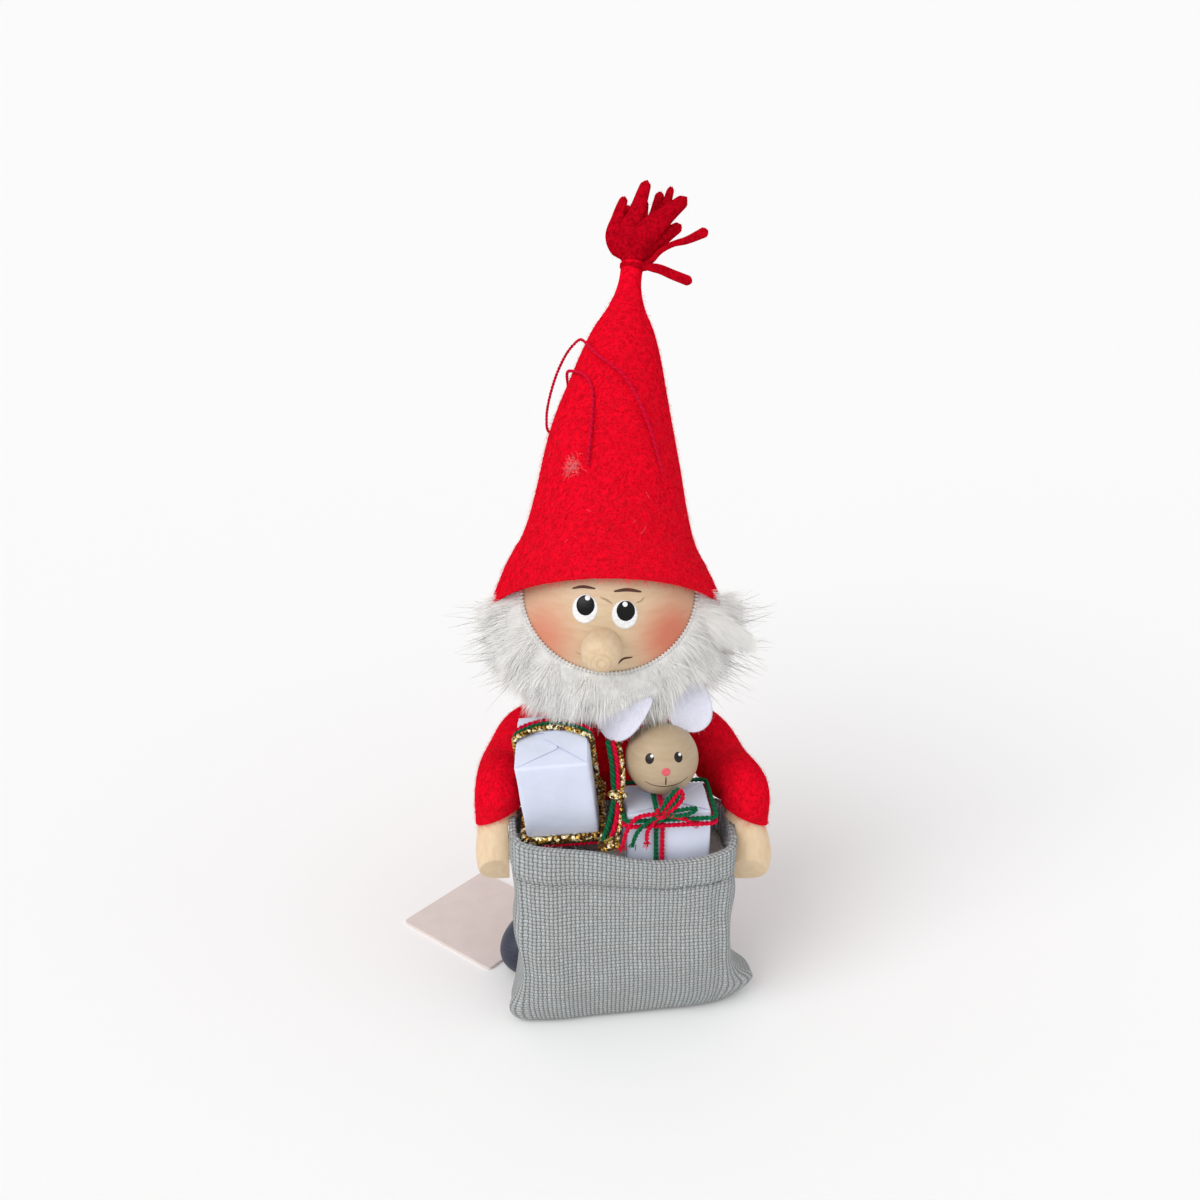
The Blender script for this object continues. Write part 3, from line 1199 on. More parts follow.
class FIGURINE_OT_clothes(bpy.types.Operator):
    """Makes the felt coat and the two sleeves with their loose hairs."""
    bl_idname = "figurine.clothes"
    bl_label = "Coat and sleeves"

    def execute(self, context):
        outline = [(16.9, 25.5), (15.2, 31), (14.3, 50.9), (13.7, 66.2), (11.2, 73.6), (9.0, 77.9), (7.4, 80)]
        outer = spline(outline, 70)
        inner = outer[::-1] - np.array([FELT, 0])
        lip = [(outer[-1] + inner[0]) / 2 + [0, 0.3]]
        hem = [(outer[0] + inner[-1]) / 2 - [0, 0.3]]
        skin = turned(np.vstack([outer, lip, inner, hem, outer[:1]]), 96) + BODY
        out = unit((skin - BODY) * [1, 1, 0])
        fold = np.sin(np.arctan2(out[..., 1], out[..., 0]) * 7 + 0.8)
        fold = fold * fade(skin[..., 2], 48, 24) ** 1.5 * 0.5
        coat = Shape().add(skin + out * fold[..., None])
        make_piece("felt_coat", coat, [red_felt()], ["coat"])
        rng = np.random.default_rng(41)
        count = 4200
        pick = rng.uniform(0, 1, count)
        radius, level = (np.interp(pick, np.linspace(0, 1, len(outer)), column) for column in outer.T)
        spin = rng.uniform(0, TAU, count)
        normals = np.stack([np.sin(spin), -np.cos(spin), np.zeros(count)], 1)
        groups = [(normals * radius[:, None] + BODY + UP * level[:, None], normals)]
        for side, name in SIDES:
            groups.append(self.sleeve(side, name, rng))
        roots, normals = (np.vstack(column) for column in zip(*groups))
        length = millimetres("fuzz_length")
        loose_hairs("coat_fuzz", red_fuzz(), roots, normals, length, 0.075, 42, 0.35)
        return {"FINISHED"}

    def sleeve(self, side, name, rng):
        """A felt tube along the arm, puckered inside the elbow, turned in at the cuff."""
        end = wrist(side)
        shoulder = np.array([side * 9.5, BODY[1], 71.0])
        elbow = shoulder[0] + (end[0] - shoulder[0]) * np.array([0.62, 0.95] if side < 0 else [0.55, 0.84])
        bend = [(elbow[0], 3.5, 69.5), (elbow[1], -5, 63)]
        root = shoulder * [0.35, 1, 1]
        path = spline([root, shoulder, *bend, end - HAND_ALONG * 10, end - HAND_ALONG * 3.0], SLEEVE_ROWS)
        t = np.linspace(0, 1, SLEEVE_ROWS)
        radius = (6.7 - 0.6 * t) * np.interp(t, [0, 0.14], [0.72, 1])
        tube = sweep(path, radius, SLEEVE_SIDES, np.array([0, 1.0, -0.4]))
        out = unit(tube - path[:, None])
        inward = np.clip(-(out * np.array([side * 0.75, -0.1, 0.65])).sum(-1), 0, 1)
        pucker = np.sin(t * 58)[:, None] * np.exp(-((t - 0.52) / 0.17) ** 2)[:, None] * inward * 0.55
        slack = ripple(tube, 15, 51 + side) * 0.3 * np.sin(t * math.pi)[:, None]
        tube = tube + out * (pucker + slack)[..., None]
        tube[..., 2] -= 4.5 * np.sin(t * math.pi)[:, None] ** 1.5 * np.clip(-out[..., 2], 0, 1)
        slant = CUFF_SLANT * side * fade(t, 0.7, 1)[:, None] ** 2 * out[..., 0]
        tube = tube + HAND_ALONG * slant[..., None]
        turned_in = slice(None, -CUFF_ROWS - 1, -1)
        axis = path[turned_in, None]
        inside = axis + (tube[turned_in] - axis) * (1 - FELT / radius[turned_in])[:, None, None]
        lip = (tube[-1:] + inside[:1]) / 2 + HAND_ALONG * 0.35
        tube = beside_sack(tube, side, HAND_FLAT - 0.1)
        caps = [np.broadcast_to(path[i], tube[:1].shape) for i in (0, -CUFF_ROWS - 1)]
        shape = Shape().add(np.concatenate([caps[0], tube, lip, inside, caps[1]]))
        make_piece(f"felt_sleeve_{name}", shape, [red_felt()], [f"sleeve_{name}"])
        count = 5200
        rows, columns = rng.integers(20, SLEEVE_ROWS, count), rng.integers(0, SLEEVE_SIDES, count)
        return tube[rows, columns], out[rows, columns]


class FIGURINE_OT_limbs(bpy.types.Operator):
    """Makes the hands, flat where they hold the sack and cut flat in front, and the painted boots."""
    bl_idname = "figurine.limbs"
    bl_label = "Hands and boots"

    def execute(self, context):
        wood = made("hand_wood", varnished_wood, (3.2, 3.2, 0.7))
        leather = made("brushed_boot_paint", paint, chosen("boots"), 0.4)
        outline = [(0, -7.6), (4.0, -7.6), (4.3, -5), (5.0, -2.4), (5.7, 2), (5.8, 8), (5.3, 12.2),
                   (3.5, 14.8), (0, 15.6)]
        basis = np.stack([RIGHT, np.cross(HAND_ALONG, RIGHT), HAND_ALONG])
        plain_peg = turned(spline(outline, 80), 64) @ basis
        for side, name in SIDES:
            peg = plain_peg
            broad = 1 + (0.24 if side > 0 else 0.06) * np.clip(peg @ HAND_ALONG / 7, 0, 1)
            peg = peg - HAND_CUT * np.clip(peg @ HAND_CUT - HAND_CUT_REACH, 0, None)[..., None]
            peg[..., 0] *= np.where(peg[..., 0] * side > 0, broad, 1)
            hand = Shape().add(beside_sack(peg + wrist(side), side, HAND_FLAT))
            make_piece(f"wood_hand_{name}", hand, [wood], [f"hand_{name}"], sharp=30)
        for side, name in SIDES:
            boot = Shape().add(self.boot(side))
            make_piece(f"painted_boot_{name}", boot, [leather], [f"boot_{name}"], sharp=55)
            finish_node(f"leg_{name}", leather)
        plain = made("bare_turned_wood", varnished_wood, (3.0, 3.0, 0.7))
        finish_node("body_core", plain)
        finish_node("neck_dowel", plain)
        finish_node("arm_wire", made("drawn_wire", paint, linear((120, 120, 116)), 0.4))
        return {"FINISHED"}

    def boot(self, side):
        """An egg on its side, broader at the toe, cut flat for a sole; the left one is further forward."""
        centre = np.array([side * 18.75, 0.3 if side > 0 else -3.7, 0])
        x, y, z = np.moveaxis(ball(np.zeros(3), 1.0, 60, 72), -1, 0)
        egg = np.stack([x * (1 - 0.16 * y) * 7.7, y * 14.4, 16.5 * (0.42 + 0.58 * z)], -1)
        egg[..., 2] = np.maximum(egg[..., 2], 0)
        return egg @ turn_about("Z", side * 40).T + centre


# Sack

SACK_LEVELS = np.array([  # height, half width, front, back, turn
    (0, 24.5, 28, 18.7, 9), (1, 26.8, 29.4, 18, 8.9), (2.5, 27.9, 30.8, 17.5, 8.6),
    (9, 28.8, 33.4, 17.1, 7.7), (16, 28.8, 35, 16.3, 6.7), (28, 28.5, 35.7, 12.9, 5),
    (46.4, 28.6, 35.2, 9.7, 5), (SACK_HEIGHT, 28.6, 35, 9.3, 5),
])
SACK_HEM = 45.8


def sack_wall(levels, angle, inset):
    """The sack's wall: at each height a squarish oval, turned a little.

    Its x and y are the cosine and sine of the angle raised to the power 0.34, times half the width and
    half the depth. The lower right corner is drawn out to a point, the left side is tucked in above its
    corner, the walls carry shallow upright folds, and the rim rises at both ends of its front.
    """
    curve = spline(SACK_LEVELS, 500)
    half, front, back, turn = (np.interp(levels, curve[:, 0], column) for column in curve[:, 1:].T)
    c, s = np.round(np.cos(angle), 9)[None], np.round(np.sin(angle), 9)[None]
    a, b = (half - inset)[:, None], ((front - back) / 2 - inset)[:, None]
    x = squared(c, 0.34) * a
    y = squared(s, 0.34) * b + (-(front + back) / 2 - SACK_MIDDLE[1])[:, None]
    height = np.broadcast_to(levels[:, None], x.shape)
    swing = (angle[None] + 0.1 + TAU / 2) % TAU - TAU / 2
    right_ear = np.exp(-(swing / 0.42) ** 2 - ((height - 6.5) / 5.6) ** 2)
    left_ear = np.exp(-((angle[None] - math.pi - 0.25) / 0.42) ** 2 - ((height - 5.0) / 5.5) ** 2)
    left_tuck = np.exp(-((angle[None] - math.pi) / 0.5) ** 2 - ((height - 18) / 7) ** 2)
    x = x + right_ear * 7.2 - left_ear * 2.6 + left_tuck * 1.5
    y = y + right_ear * 2.0
    fold = np.sin(angle[None] * 9 + 0.6) * 0.25 + np.sin(angle[None] * 17 + height * 0.05) * 0.18
    halfway = np.sin(fade(height, 0, SACK_HEIGHT) * math.pi)
    crease = np.exp(-((np.abs(c) - 0.94) / 0.03) ** 2) * -0.7 * fade(height, 10, 30)
    y = y + np.sign(s) * (fold * halfway**0.6 + crease)
    dent = ripple(np.stack(np.broadcast_arrays(x, y, height), -1), 13, 63) * 0.55 * halfway**0.5
    x, y = x + squared(c, 2) * dent, y + squared(s, 2) * dent
    rise = spline([(-30, 3.6), (-25, 3.3), (-9, 1.3), (0, -1.2), (8, -2.5), (19, -2.0), (30, -0.2)], 60)
    lift = 0.8 + (np.interp(x, rise[:, 0], rise[:, 1]) - 0.8) * np.clip(0.5 - 1.5 * s, 0, 1)
    lift = lift * fade(height, 32, 54) ** 1.5
    r = np.radians(turn)[:, None]
    spot = np.stack([x * np.cos(r) - y * np.sin(r), x * np.sin(r) + y * np.cos(r), height + lift], -1)
    return spot + SACK_MIDDLE


class FIGURINE_OT_sack(bpy.types.Operator):
    """Makes the linen sack with its turned and stitched hem, and the wadding that fills it."""
    bl_idname = "figurine.sack"
    bl_label = "Sack"

    def execute(self, context):
        angle = np.linspace(0, TAU, 289)
        outer = np.concatenate([np.linspace(0, 4, 14), np.linspace(4.6, SACK_HEM - 0.6, 66)])
        hem = np.linspace(SACK_HEM, SACK_HEIGHT - 0.4, 16)
        inner = np.linspace(SACK_HEIGHT - 0.4, 40, 14)
        bulge = 0.5 * np.sin(fade(hem, SACK_HEM, SACK_HEM + 1.3) * math.pi / 2)
        levels = np.concatenate([outer, hem, [SACK_HEIGHT, SACK_HEIGHT], inner])
        inset = np.concatenate([0 * outer, -bulge, [0.2, 1.0], np.full(len(inner), 1.3)])
        wall = sack_wall(levels, angle, inset)
        base = drawn_in(wall[:1], wall[0].mean(0), np.linspace(0, 0.98, 8))
        wall = capped(np.concatenate([base, wall]))
        waist = 41
        around = run_length(wall[waist])
        pitch = millimetres("weave_pitch")
        around = around * (2 * pitch * round(around[-1] / pitch / 2) / around[-1])
        rise = np.concatenate([[0], np.cumsum(np.linalg.norm(np.diff(wall, axis=0), axis=2).mean(1))])
        weave = made("linen_weave", linen_weave, chosen("linen"), pitch)
        sack = Shape().add(wall, np.stack(np.meshgrid(around, rise), -1))
        make_piece("linen_sack", sack, [weave], ["sack"])
        self.threads(angle, weave)
        self.wadding(angle[::4])
        return {"FINISHED"}

    def threads(self, angle, weave):
        """Running stitches below the hem, short dashes that dip into the cloth, and loose ends at the rim."""
        seam = sack_wall(np.array([SACK_HEM - 0.5]), angle, -0.12)[0]
        line = spline(seam[:-1], 900, closed=True)
        thread = 0.24 * np.clip(np.sin(np.linspace(0, 92 * TAU, len(line))) * 3 + 0.6, 0.05, 1)
        stitch = sweep(line, thread, 6, UP, closed=True)
        make_piece("hem_stitch", Shape().add(stitch), [weave])
        rng = np.random.default_rng(61)
        rim = sack_wall(np.array([SACK_HEIGHT - 0.05]), rng.uniform(0, TAU, 420), 0.5)[0]
        upward = np.broadcast_to(UP, rim.shape)
        thread = made("linen_thread", fuzz_finish, shade(chosen("linen"), 1.1), linear((214, 210, 200)))
        loose_hairs("rim_threads", thread, rim, upward, 1.5, 0.09, 62, 0.6)

    def wadding(self, angle):
        """Crumpled wadding inside: the inner wall drawn in to a lumpy top below the parcels."""
        sides = sack_wall(np.linspace(30, 47, 8), angle, 1.7)
        crown = drawn_in(sides[-1], sides[-1].mean(0) + UP, np.linspace(0.94, 0.0, 14))
        crown[..., 2] += ripple(crown, 9, 71) * 0.9 - 0.6
        bottom = drawn_in(sides[0], sides[0].mean(0), np.linspace(0, 0.9, 5))
        soft = made("loose_wadding", felt, linear((190, 186, 178)), 0.1)
        lump = Shape().add(np.concatenate([bottom, sides, crown]))
        pad = make_piece("sack_wadding", lump, [soft], ["sack_filling"])


# Parcels and rabbit

LARGE_SIZE, SMALL_SIZE = (18.6, 18.6, 26.0), (21.4, 13.6, 26.0)
LARGE_TURN = turn_about("X", 13) @ turn_about("Y", -6)
LARGE_MIDDLE = np.array([-12.9, -20.9, 68.4])
SMALL_TURN = turn_about("Z", SACK_TURN)
SMALL_MIDDLE = np.array([14.6, -22.9, 50.6])
FOLD = 0.5
PAPER = 0.16
CORD_GAP = 0.3
TWIST = 0.42


def wrapped_box(size, seed):
    """A paper-wrapped box: a rounded oblong carried up from its foot, drawn in at both ends.

    Faces swell by a fraction of a millimetre and edges keep a small radius.
    """
    width, depth, height = size
    angle = np.linspace(0, TAU, 161)
    x = squared(np.round(np.cos(angle), 9), 0.09) * width / 2
    y = squared(np.round(np.sin(angle), 9), 0.09) * depth / 2
    corner = np.array([0, 0.08, 0.3, 0.7])
    levels = np.concatenate([corner, np.linspace(1.6, height - 1.6, 24), height - corner[::-1]])
    near = np.minimum(levels, height - levels)
    radius = 0.6
    inset = radius - np.sqrt(radius**2 - (radius - np.clip(near, 0, radius)) ** 2)
    walls = [flat[None] - np.sign(flat)[None] * inset[:, None] for flat in (x, y)]
    ring = np.stack([*walls, np.broadcast_to(levels[:, None] - height / 2, walls[0].shape)], -1)
    puff = 0.22 * np.sin(levels / height * math.pi)[:, None] * (np.abs(x) < width / 2 - 0.8)
    ring[..., 1] += np.sign(y)[None] * puff * np.cos(np.clip(x / width, -0.5, 0.5) * math.pi)
    ring += (ripple(ring, 11, seed) * 0.1)[..., None] * unit(ring * [1, 1, 0])
    foot, top = (drawn_in(edge, edge.mean(0), np.linspace(0, 0.97, 8)) for edge in (ring[0], ring[-1]))
    return np.concatenate([foot, ring, top[::-1]])


def paper_flap(corners, lift):
    """A folded flap: a patch between four corners, lifted towards its free edge, as six closed sides."""
    a, b, c, d = (np.array(p, float) for p in corners)
    s, t = np.meshgrid(np.linspace(0, 1, 24), np.linspace(0, 1, 18))
    s, t = s[..., None], t[..., None]
    flat = (a * (1 - s) + b * s) * (1 - t) + (d * (1 - s) + c * s) * t
    flat = np.concatenate([flat, lift[0] + lift[1] * t**2 + 0.06 * np.sin(s * 5 + t * 3)], -1)
    low = flat - UP * PAPER
    return [flat, low[:, ::-1], np.stack([flat[0], low[0]]), np.stack([low[-1], flat[-1]]),
            np.stack([low[:, 0], flat[:, 0]]), np.stack([flat[:, -1], low[:, -1]])]


def rounded_loop(half_a, half_b, corner, count):
    """A closed rectangle with round corners in its own plane, evenly spaced, its first point repeated."""
    angle = np.linspace(0, TAU, 481)[:-1]
    c, s = np.cos(angle), np.sin(angle)
    a = np.clip(np.sign(c) * (half_a - corner), -half_a, half_a) + c * corner
    b = np.clip(np.sign(s) * (half_b - corner), -half_b, half_b) + s * corner
    points = np.stack([a, b], 1)
    return evenly(np.vstack([points, points[:1]]), count)


class FIGURINE_OT_parcels(bpy.types.Operator):
    """Makes the two wrapped parcels with their folded ends, cords, knots and bow."""
    bl_idname = "figurine.parcels"
    bl_label = "Parcels"

    def execute(self, context):
        wrap = made("wrapping_paper", paper, chosen("paper"))
        parcels = (
            ("large", LARGE_SIZE, LARGE_TURN, LARGE_MIDDLE, 81),
            ("small", SMALL_SIZE, SMALL_TURN, SMALL_MIDDLE, 82),
        )
        for name, size, turn, spot, seed in parcels:
            shape = Shape().add(wrapped_box(size, seed))
            w, d, top = size[0] / 2 - 0.4, size[1] / 2 - 0.35, size[2] / 2
            flaps = [
                ([(-w, -d), (-w, d), (0.12 * w, 0.5 * d), (0.15 * w, -0.35 * d)], (top + 0.2, 0.1)),
                ([(w, d), (w, -d), (-0.25 * w, 0.1 * d), (-0.22 * w, 0.6 * d)], (top + 0.42, 0.18)),
                ([(w, d), (-w, d), (-0.5 * w, 0.3 * d), (0.5 * w, 0.3 * d)], (top + 0.6, 0.12)),
            ]
            for corners, lift in flaps:
                for patch in paper_flap(corners, lift):
                    shape.add(patch)
            make_piece(f"paper_parcel_{name}", shape.placed(turn, spot), [wrap],
                       [f"parcel_{name}"], sharp=40)
        self.large_cords()
        self.small_cords()
        return {"FINISHED"}

    def loop(self, name, node, kind, points, turn, spot, thick, reference):
        """Makes a cord that is tied round a parcel, on a closed path in the parcel's own axes."""
        finish, slot, plies = kind
        shape = Shape()
        add_yarn(shape, points @ turn.T + spot, thick, plies, TWIST, turn @ reference, closed=True)
        make_piece(name, shape, [finish], [node])

    def large_cords(self):
        """Three cords over the ends and three round the foot, side by side, on the leaning parcel."""
        thick = millimetres("cord_diameter")
        w, d, h = (side / 2 for side in LARGE_SIZE)
        pitch, seat = thick + CORD_GAP, thick / 2 + CORD_GAP
        placing = LARGE_TURN, LARGE_MIDDLE
        kinds = {
            "gold": (gold_braid(), "gold_braid", 4),
            "green": (green_yarn(), "green_yarn", 2),
            "red": (red_yarn(), "red_yarn", 2),
        }
        for i, (colour, kind) in enumerate(kinds.items()):
            over, band = (thick * 1.2, thick * 1.75) if colour == "gold" else (thick, thick)
            x, z = rounded_loop(w + 0.45, h + FOLD + seat, 1.3, 300).T
            across = np.clip(x / w, -1, 1)
            swing = (i - 1) * pitch * 0.85 + 1.4 - 0.8 * across + 3.6 * (1 - across**2)
            upright = np.stack([x + 0.2, swing, z], 1)
            names = f"{colour}_cord_over", f"large_parcel_{colour}_cord"
            self.loop(*names, kind, upright, *placing, over, [0, 1.0, 0])
            x, y = rounded_loop(w + 0.7, d + seat, 1.6, 300).T
            level = np.stack([x, y, np.full_like(x, -11.3 - i)], 1)
            names = f"{colour}_cord_round", f"large_parcel_{colour}_band"
            self.loop(*names, kind, level, *placing, band, UP)
        self.tails(kinds, thick * 1.1)

    def tails(self, kinds, thick):
        """The knotted ends beside the large parcel: two bundles bound with gold, hanging to the rim."""
        runs = {
            "green": [(-0.4, -23, 80.6), (0.6, -25.6, 76), (1.0, -27.4, 71.4), (1.2, -28.2, 67.6),
                      (0.2, -30, 62), (-1.6, -31.4, 56.4)],
            "red": [(0.9, -22.6, 80.4), (1.9, -25.2, 75.8), (2.2, -27.2, 71.2), (2.2, -28.2, 67.4),
                    (1.8, -30.2, 61.6), (0.0, -31.6, 55.8)],
            "gold": [(2.2, -22.2, 80), (3.2, -24.8, 75.4), (3.4, -27, 71), (3.0, -28.2, 67.2),
                     (3.0, -30.4, 61.4), (1.6, -31.8, 55.4)],
        }
        for colour, run in runs.items():
            finish, slot, plies = kinds[colour]
            shape = Shape()
            add_yarn(shape, spline(run, 120), thick, plies, TWIST, np.array([0.9, 0.1, 0.3]))
            make_piece(f"{colour}_cord_tail", shape, [finish])
        shape = Shape()
        wind = np.linspace(0, 1, 150)
        for centre, size, lean in (((2.0, -28.7, 68.2), 1.35, 25), ((-0.4, -32.0, 55.9), 1.75, -20)):
            angle = wind * 3.4 * TAU
            wander = 0.35 * np.sin(angle * 0.37 + lean)
            climb = (wind - 0.5) * 1.5 + 0.45 * np.sin(angle * 0.61)
            ring = np.stack([np.sin(angle) * (1 + wander), np.cos(angle) * 0.8, climb], 1)
            path = size * ring @ turn_about("Y", lean).T + centre
            add_yarn(shape, path, thick, 4, 0.5, np.array([0.1, 0.1, 1.0]))
            shape.add(ball(np.array(centre), size * 0.8, 16, 20))
        make_piece("gold_knots", shape, [gold_braid()])

    def small_cords(self):
        """Red and green cords both ways round the small parcel, with a soft bow on its front edge."""
        thick = millimetres("cord_diameter")
        w, d, h = (side / 2 for side in SMALL_SIZE)
        pitch, seat = thick + CORD_GAP, thick / 2 + CORD_GAP
        crossing = -2.6
        placing = SMALL_TURN, SMALL_MIDDLE
        kinds = {"green": (green_yarn(), "green_yarn", 2), "red": (red_yarn(), "red_yarn", 2)}
        for i, (colour, kind) in enumerate(kinds.items()):
            offset = (i - 0.5) * pitch
            x, y = rounded_loop(w + seat, d + seat + pitch, 1.6, 300).T
            level = np.stack([x, y, np.full_like(x, h - 1.1 - offset)], 1)
            names = f"{colour}_band_small", f"small_parcel_{colour}_band"
            self.loop(*names, kind, level, *placing, thick, UP)
            y, z = rounded_loop(d + seat, h + FOLD + seat, 1.6, 300).T
            upright = np.stack([np.full_like(y, crossing + offset), y, z], 1)
            names = f"{colour}_cord_small", f"small_parcel_{colour}_cord"
            self.loop(*names, kind, upright, *placing, thick, RIGHT)
        self.bow(np.array([crossing, -d - pitch * 1.5, h + 1.2]), thick * 0.95)

    def bow(self, centre, thick):
        """Three loops and four tails from one knot, its two wraps, and the frayed ends of the tails."""
        green, red = range(2)
        loops = [
            (green, [(0, 0, 0), (1.4, 0.3, 3.4), (4.2, 1.6, 6.0), (4.6, 1.2, 4.4), (2.2, -0.2, 1.4),
                     (0, 0, 0)]),
            (red, [(0, 0, 0.3), (2.4, 0.2, 3.0), (4.9, 1.4, 5.8), (5.6, 1.0, 3.8), (3.0, -0.4, 1.6),
                   (0.2, -0.4, 0.2)]),
            (green, [(0, 0, 0), (3.2, -0.2, 0.9), (7.4, 0.6, 1.0), (9.2, 0.9, 0.6), (6.8, -0.5, 0.1),
                     (3.0, -0.7, -0.2), (0, -0.4, 0)]),
        ]
        tails = [
            (red, [(0, -0.3, 0), (3.6, -0.6, -0.4), (6.6, -0.4, -1.6), (8.6, 0.2, -3.0)]),
            (red, [(0, -0.3, 0), (-1.8, -0.9, -1.6), (-3.2, -0.9, -4.2), (-3.4, -0.4, -7.4)]),
            (green, [(0, -0.4, 0), (-2.8, -1.1, -1.0), (-5.6, -0.9, -4.0), (-6.8, -0.3, -7.6)]),
            (red, [(0, -0.2, 0.2), (-3.2, -0.8, 0.6), (-6.4, -0.6, -0.6), (-8.4, -0.2, -4.4),
                   (-9.4, 0.2, -9.0)]),
        ]
        shape = Shape()
        for finish, run in loops + tails:
            path = spline(np.array(run, float), 90) + centre
            add_yarn(shape, path, thick, 2, 0.45, np.array([0.2, 1.0, 0.15]), finish=finish)
        angle = np.linspace(0, 1.6 * TAU, 60)
        for finish, scale, lift in ((red, 1.5, 0.3), (green, 1.25, 0)):
            climb = np.linspace(-0.8, 0.8, 60) + lift
            wrap = np.stack([np.cos(angle) * 0.9, np.sin(angle) * scale - 0.5, climb], 1) + centre
            add_yarn(shape, wrap, thick, 2, 0.45, np.array([0.1, 0.1, 1.0]), finish=finish)
        rng = np.random.default_rng(91)
        each = 16
        ends, before = (np.repeat([run[i] for _, run in tails], each, 0) + centre for i in (-1, -2))
        roots = ends + rng.normal(size=ends.shape) * 0.25
        aim = unit(unit(roots - before) + rng.normal(size=ends.shape) * 0.35)
        lines = roots[:, None] + aim[:, None] * np.linspace(0, 1.7, 4)[None, :, None]
        across = unit(np.cross(aim, [0.3, 1.0, 0.2]))
        for i, (finish, _) in enumerate(tails):
            pick = slice(each * i, each * (i + 1))
            half = np.full((each, 4), 0.11)
            shape.add_hairs(lines[pick], half, across[pick], rng.uniform(0, 1, each), finish)
        shape.placed(SMALL_TURN, SMALL_MIDDLE)
        make_piece("soft_bow", shape, [green_yarn(), red_yarn()], ["small_parcel_bow"])


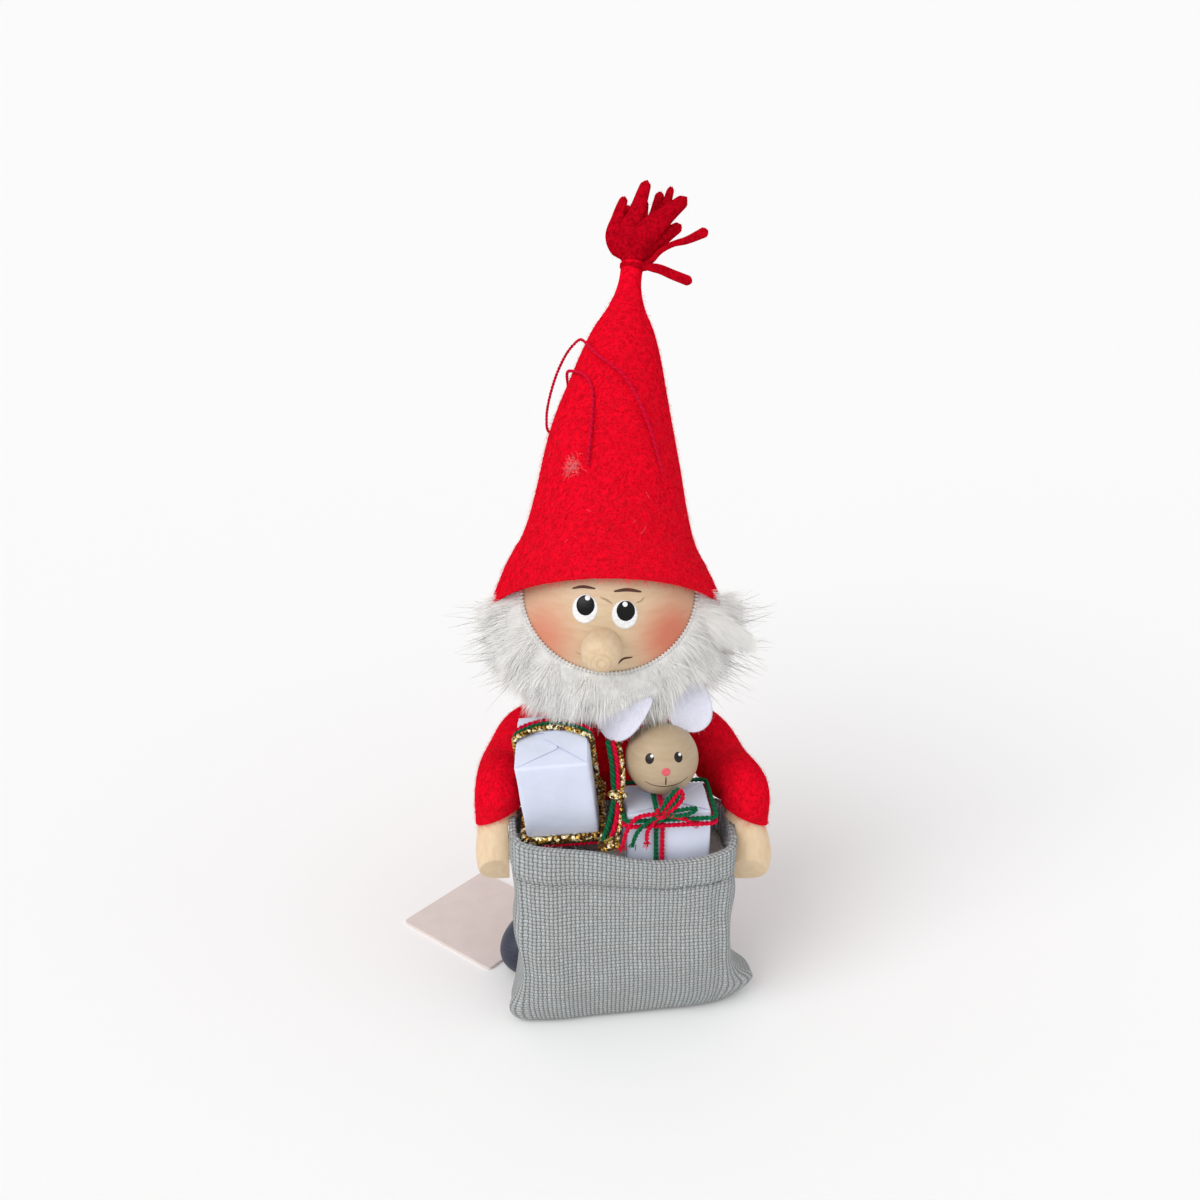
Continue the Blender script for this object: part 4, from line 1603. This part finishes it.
class FIGURINE_OT_rabbit(bpy.types.Operator):
    """Makes the rabbit: a wooden ball with a painted face and two cupped felt ears."""
    bl_idname = "figurine.rabbit"
    bl_label = "Rabbit"

    def execute(self, context):
        wood = made("rabbit_wood", varnished_wood, (0.8, 0.8, 3.6), 0.61)
        head = Shape().add(ball(RABBIT, RABBIT_RADIUS, 48, 72))
        make_piece("rabbit_ball", head, [wood], ["rabbit_head"])
        self.face()
        self.ears()
        return {"FINISHED"}

    def face(self):
        """Eyes with glints and a nose as dots, the lip and the smile as strokes."""
        black, white, pink = range(3)
        finishes = [
            made("rabbit_black", paint, linear((38, 32, 32)), 0.25),
            eye_white(),
            made("rabbit_pink", paint, linear((222, 96, 108)), 0.4),
        ]
        shape = Shape()
        for eye, glint in (((26.4, -24.1), (31.0, -20.6)), ((28.1, 27.5), (31.6, 31.3))):
            add_dot(shape, RABBIT, RABBIT_RADIUS, *eye, 2.3, 2.7, 0.07, black)
            add_dot(shape, RABBIT, RABBIT_RADIUS, *glint, 0.85, 0.85, 0.14, white)
        add_dot(shape, RABBIT, RABBIT_RADIUS, 7.6, 4.4, 2.2, 2.2, 0.09, pink)
        lip = [(-1.0, 4.2), (-8, 4.3), (-16.4, 4.4)]
        add_stroke(shape, RABBIT, RABBIT_RADIUS, lip, 0.32, 0.05, black, 0.3)
        smile = [(-13.9, -29.2), (-18.6, -14.3), (-20.0, 4.6), (-17.2, 26.0), (-10.0, 43.3)]
        add_stroke(shape, RABBIT, RABBIT_RADIUS, smile, 0.28, 0.05, black, 0.4)
        make_piece("rabbit_face", shape, finishes)

    def ears(self):
        """Both felt ears, with short hairs standing every way."""
        cloth = made("pressed_white_felt", felt, chosen("ear_felt"), 0.02)
        fuzz = made("white_fuzz", fuzz_finish, chosen("ear_felt"), linear((248, 248, 250)))
        for (name, root, tip, width), seed in zip(EARS, (95, 96)):
            points = self.ear(root, tip, width)
            ear = Shape().add(points)
            make_piece(f"felt_ear_{name}", ear, [cloth], [f"rabbit_ear_{name}"])
            rng = np.random.default_rng(seed)
            roots = points[tuple(rng.integers(0, size, 700) for size in points.shape[:2])]
            normals = unit(rng.normal(size=roots.shape))
            loose_hairs(f"ear_fuzz_{name}", fuzz, roots, normals, 0.9, 0.06, 97, 0.4)

    def ear(self, root, tip, width):
        """A leaf of felt, broad near its blunt end: its half width swells fast and narrows slowly to a point.

        Its flat side looks at the camera and its sides curl forward along an arc.
        """
        length = np.linalg.norm(tip - root)
        along = (tip - root) / length
        across = unit(np.cross(VIEW_AWAY, along))
        turn = np.stack([across, np.cross(along, across), along], 1)
        t = np.linspace(0, 1, 36)
        v = np.linspace(-1, 1, 25)
        half = width / 2 * (0.04 + np.clip(np.sin(t**0.72 * math.pi), 0, 1) ** 0.72 * (0.96 - 0.1 * t))
        curl = math.pi / 2 * 0.45 * (1 - 0.35 * t)[:, None]
        bow = v[None] * curl
        x = half[:, None] * np.sin(bow) / np.sin(curl)
        y = -half[:, None] * (1 - np.cos(bow)) / np.sin(curl) * 0.9 - 0.8 * np.sin(t * math.pi)[:, None]
        z = np.broadcast_to((length * t)[:, None], x.shape) - 0.6 * v[None] ** 2 * (1 - t)[:, None]
        sheet = np.stack([x, y, z], -1)
        normal = unit(np.cross(np.gradient(sheet, axis=1), np.gradient(sheet, axis=0)))
        thin = np.sqrt(np.clip(np.sin((t * 0.98 + 0.02) * math.pi), 0.05, 1))
        rim = 0.5 * np.sqrt(1 - v**6)[None, :] * thin[:, None]
        return two_sided(sheet, normal * rim[..., None]) @ turn.T + root


class FIGURINE_OT_tag(bpy.types.Operator):
    """Gives the card tag beside the boot its smooth card finish."""
    bl_idname = "figurine.tag"
    bl_label = "Tag"

    def execute(self, context):
        finish_node("swing_tag", made("smooth_card", paper, chosen("card"), 0.4))
        return {"FINISHED"}


OPERATORS = (
    FIGURINE_OT_stage, FIGURINE_OT_hanging_loop, FIGURINE_OT_hat, FIGURINE_OT_head, FIGURINE_OT_beard,
    FIGURINE_OT_clothes, FIGURINE_OT_limbs, FIGURINE_OT_sack, FIGURINE_OT_parcels, FIGURINE_OT_rabbit,
    FIGURINE_OT_tag,
)


class FIGURINE_PT_sidebar(bpy.types.Panel):
    """Lists the figurine's sizes, colours and pieces."""
    bl_idname = "FIGURINE_PT_sidebar"
    bl_label = "Santa figurine"
    bl_space_type = "VIEW_3D"
    bl_region_type = "UI"
    bl_category = "Figurine"

    def draw(self, context):
        for group in (context.scene.figurine_sizes, context.scene.figurine_colours):
            box = self.layout.box()
            for name in group.__annotations__:
                box.prop(group, name)
        for operator in OPERATORS:
            self.layout.operator(operator.bl_idname)


CLASSES = (FigurineSizes, FigurineColours, *OPERATORS, FIGURINE_PT_sidebar)


def register():
    for item in CLASSES:
        bpy.utils.register_class(item)
    bpy.types.Scene.figurine_sizes = bpy.props.PointerProperty(type=FigurineSizes)
    bpy.types.Scene.figurine_colours = bpy.props.PointerProperty(type=FigurineColours)


def unregister():
    del bpy.types.Scene.figurine_sizes
    del bpy.types.Scene.figurine_colours
    for item in reversed(CLASSES):
        bpy.utils.unregister_class(item)


def main():
    """Makes every piece in order."""
    register()
    for operator in OPERATORS:
        group, name = operator.bl_idname.split(".")
        getattr(getattr(bpy.ops, group), name)()


if __name__ == "__main__":
    main()
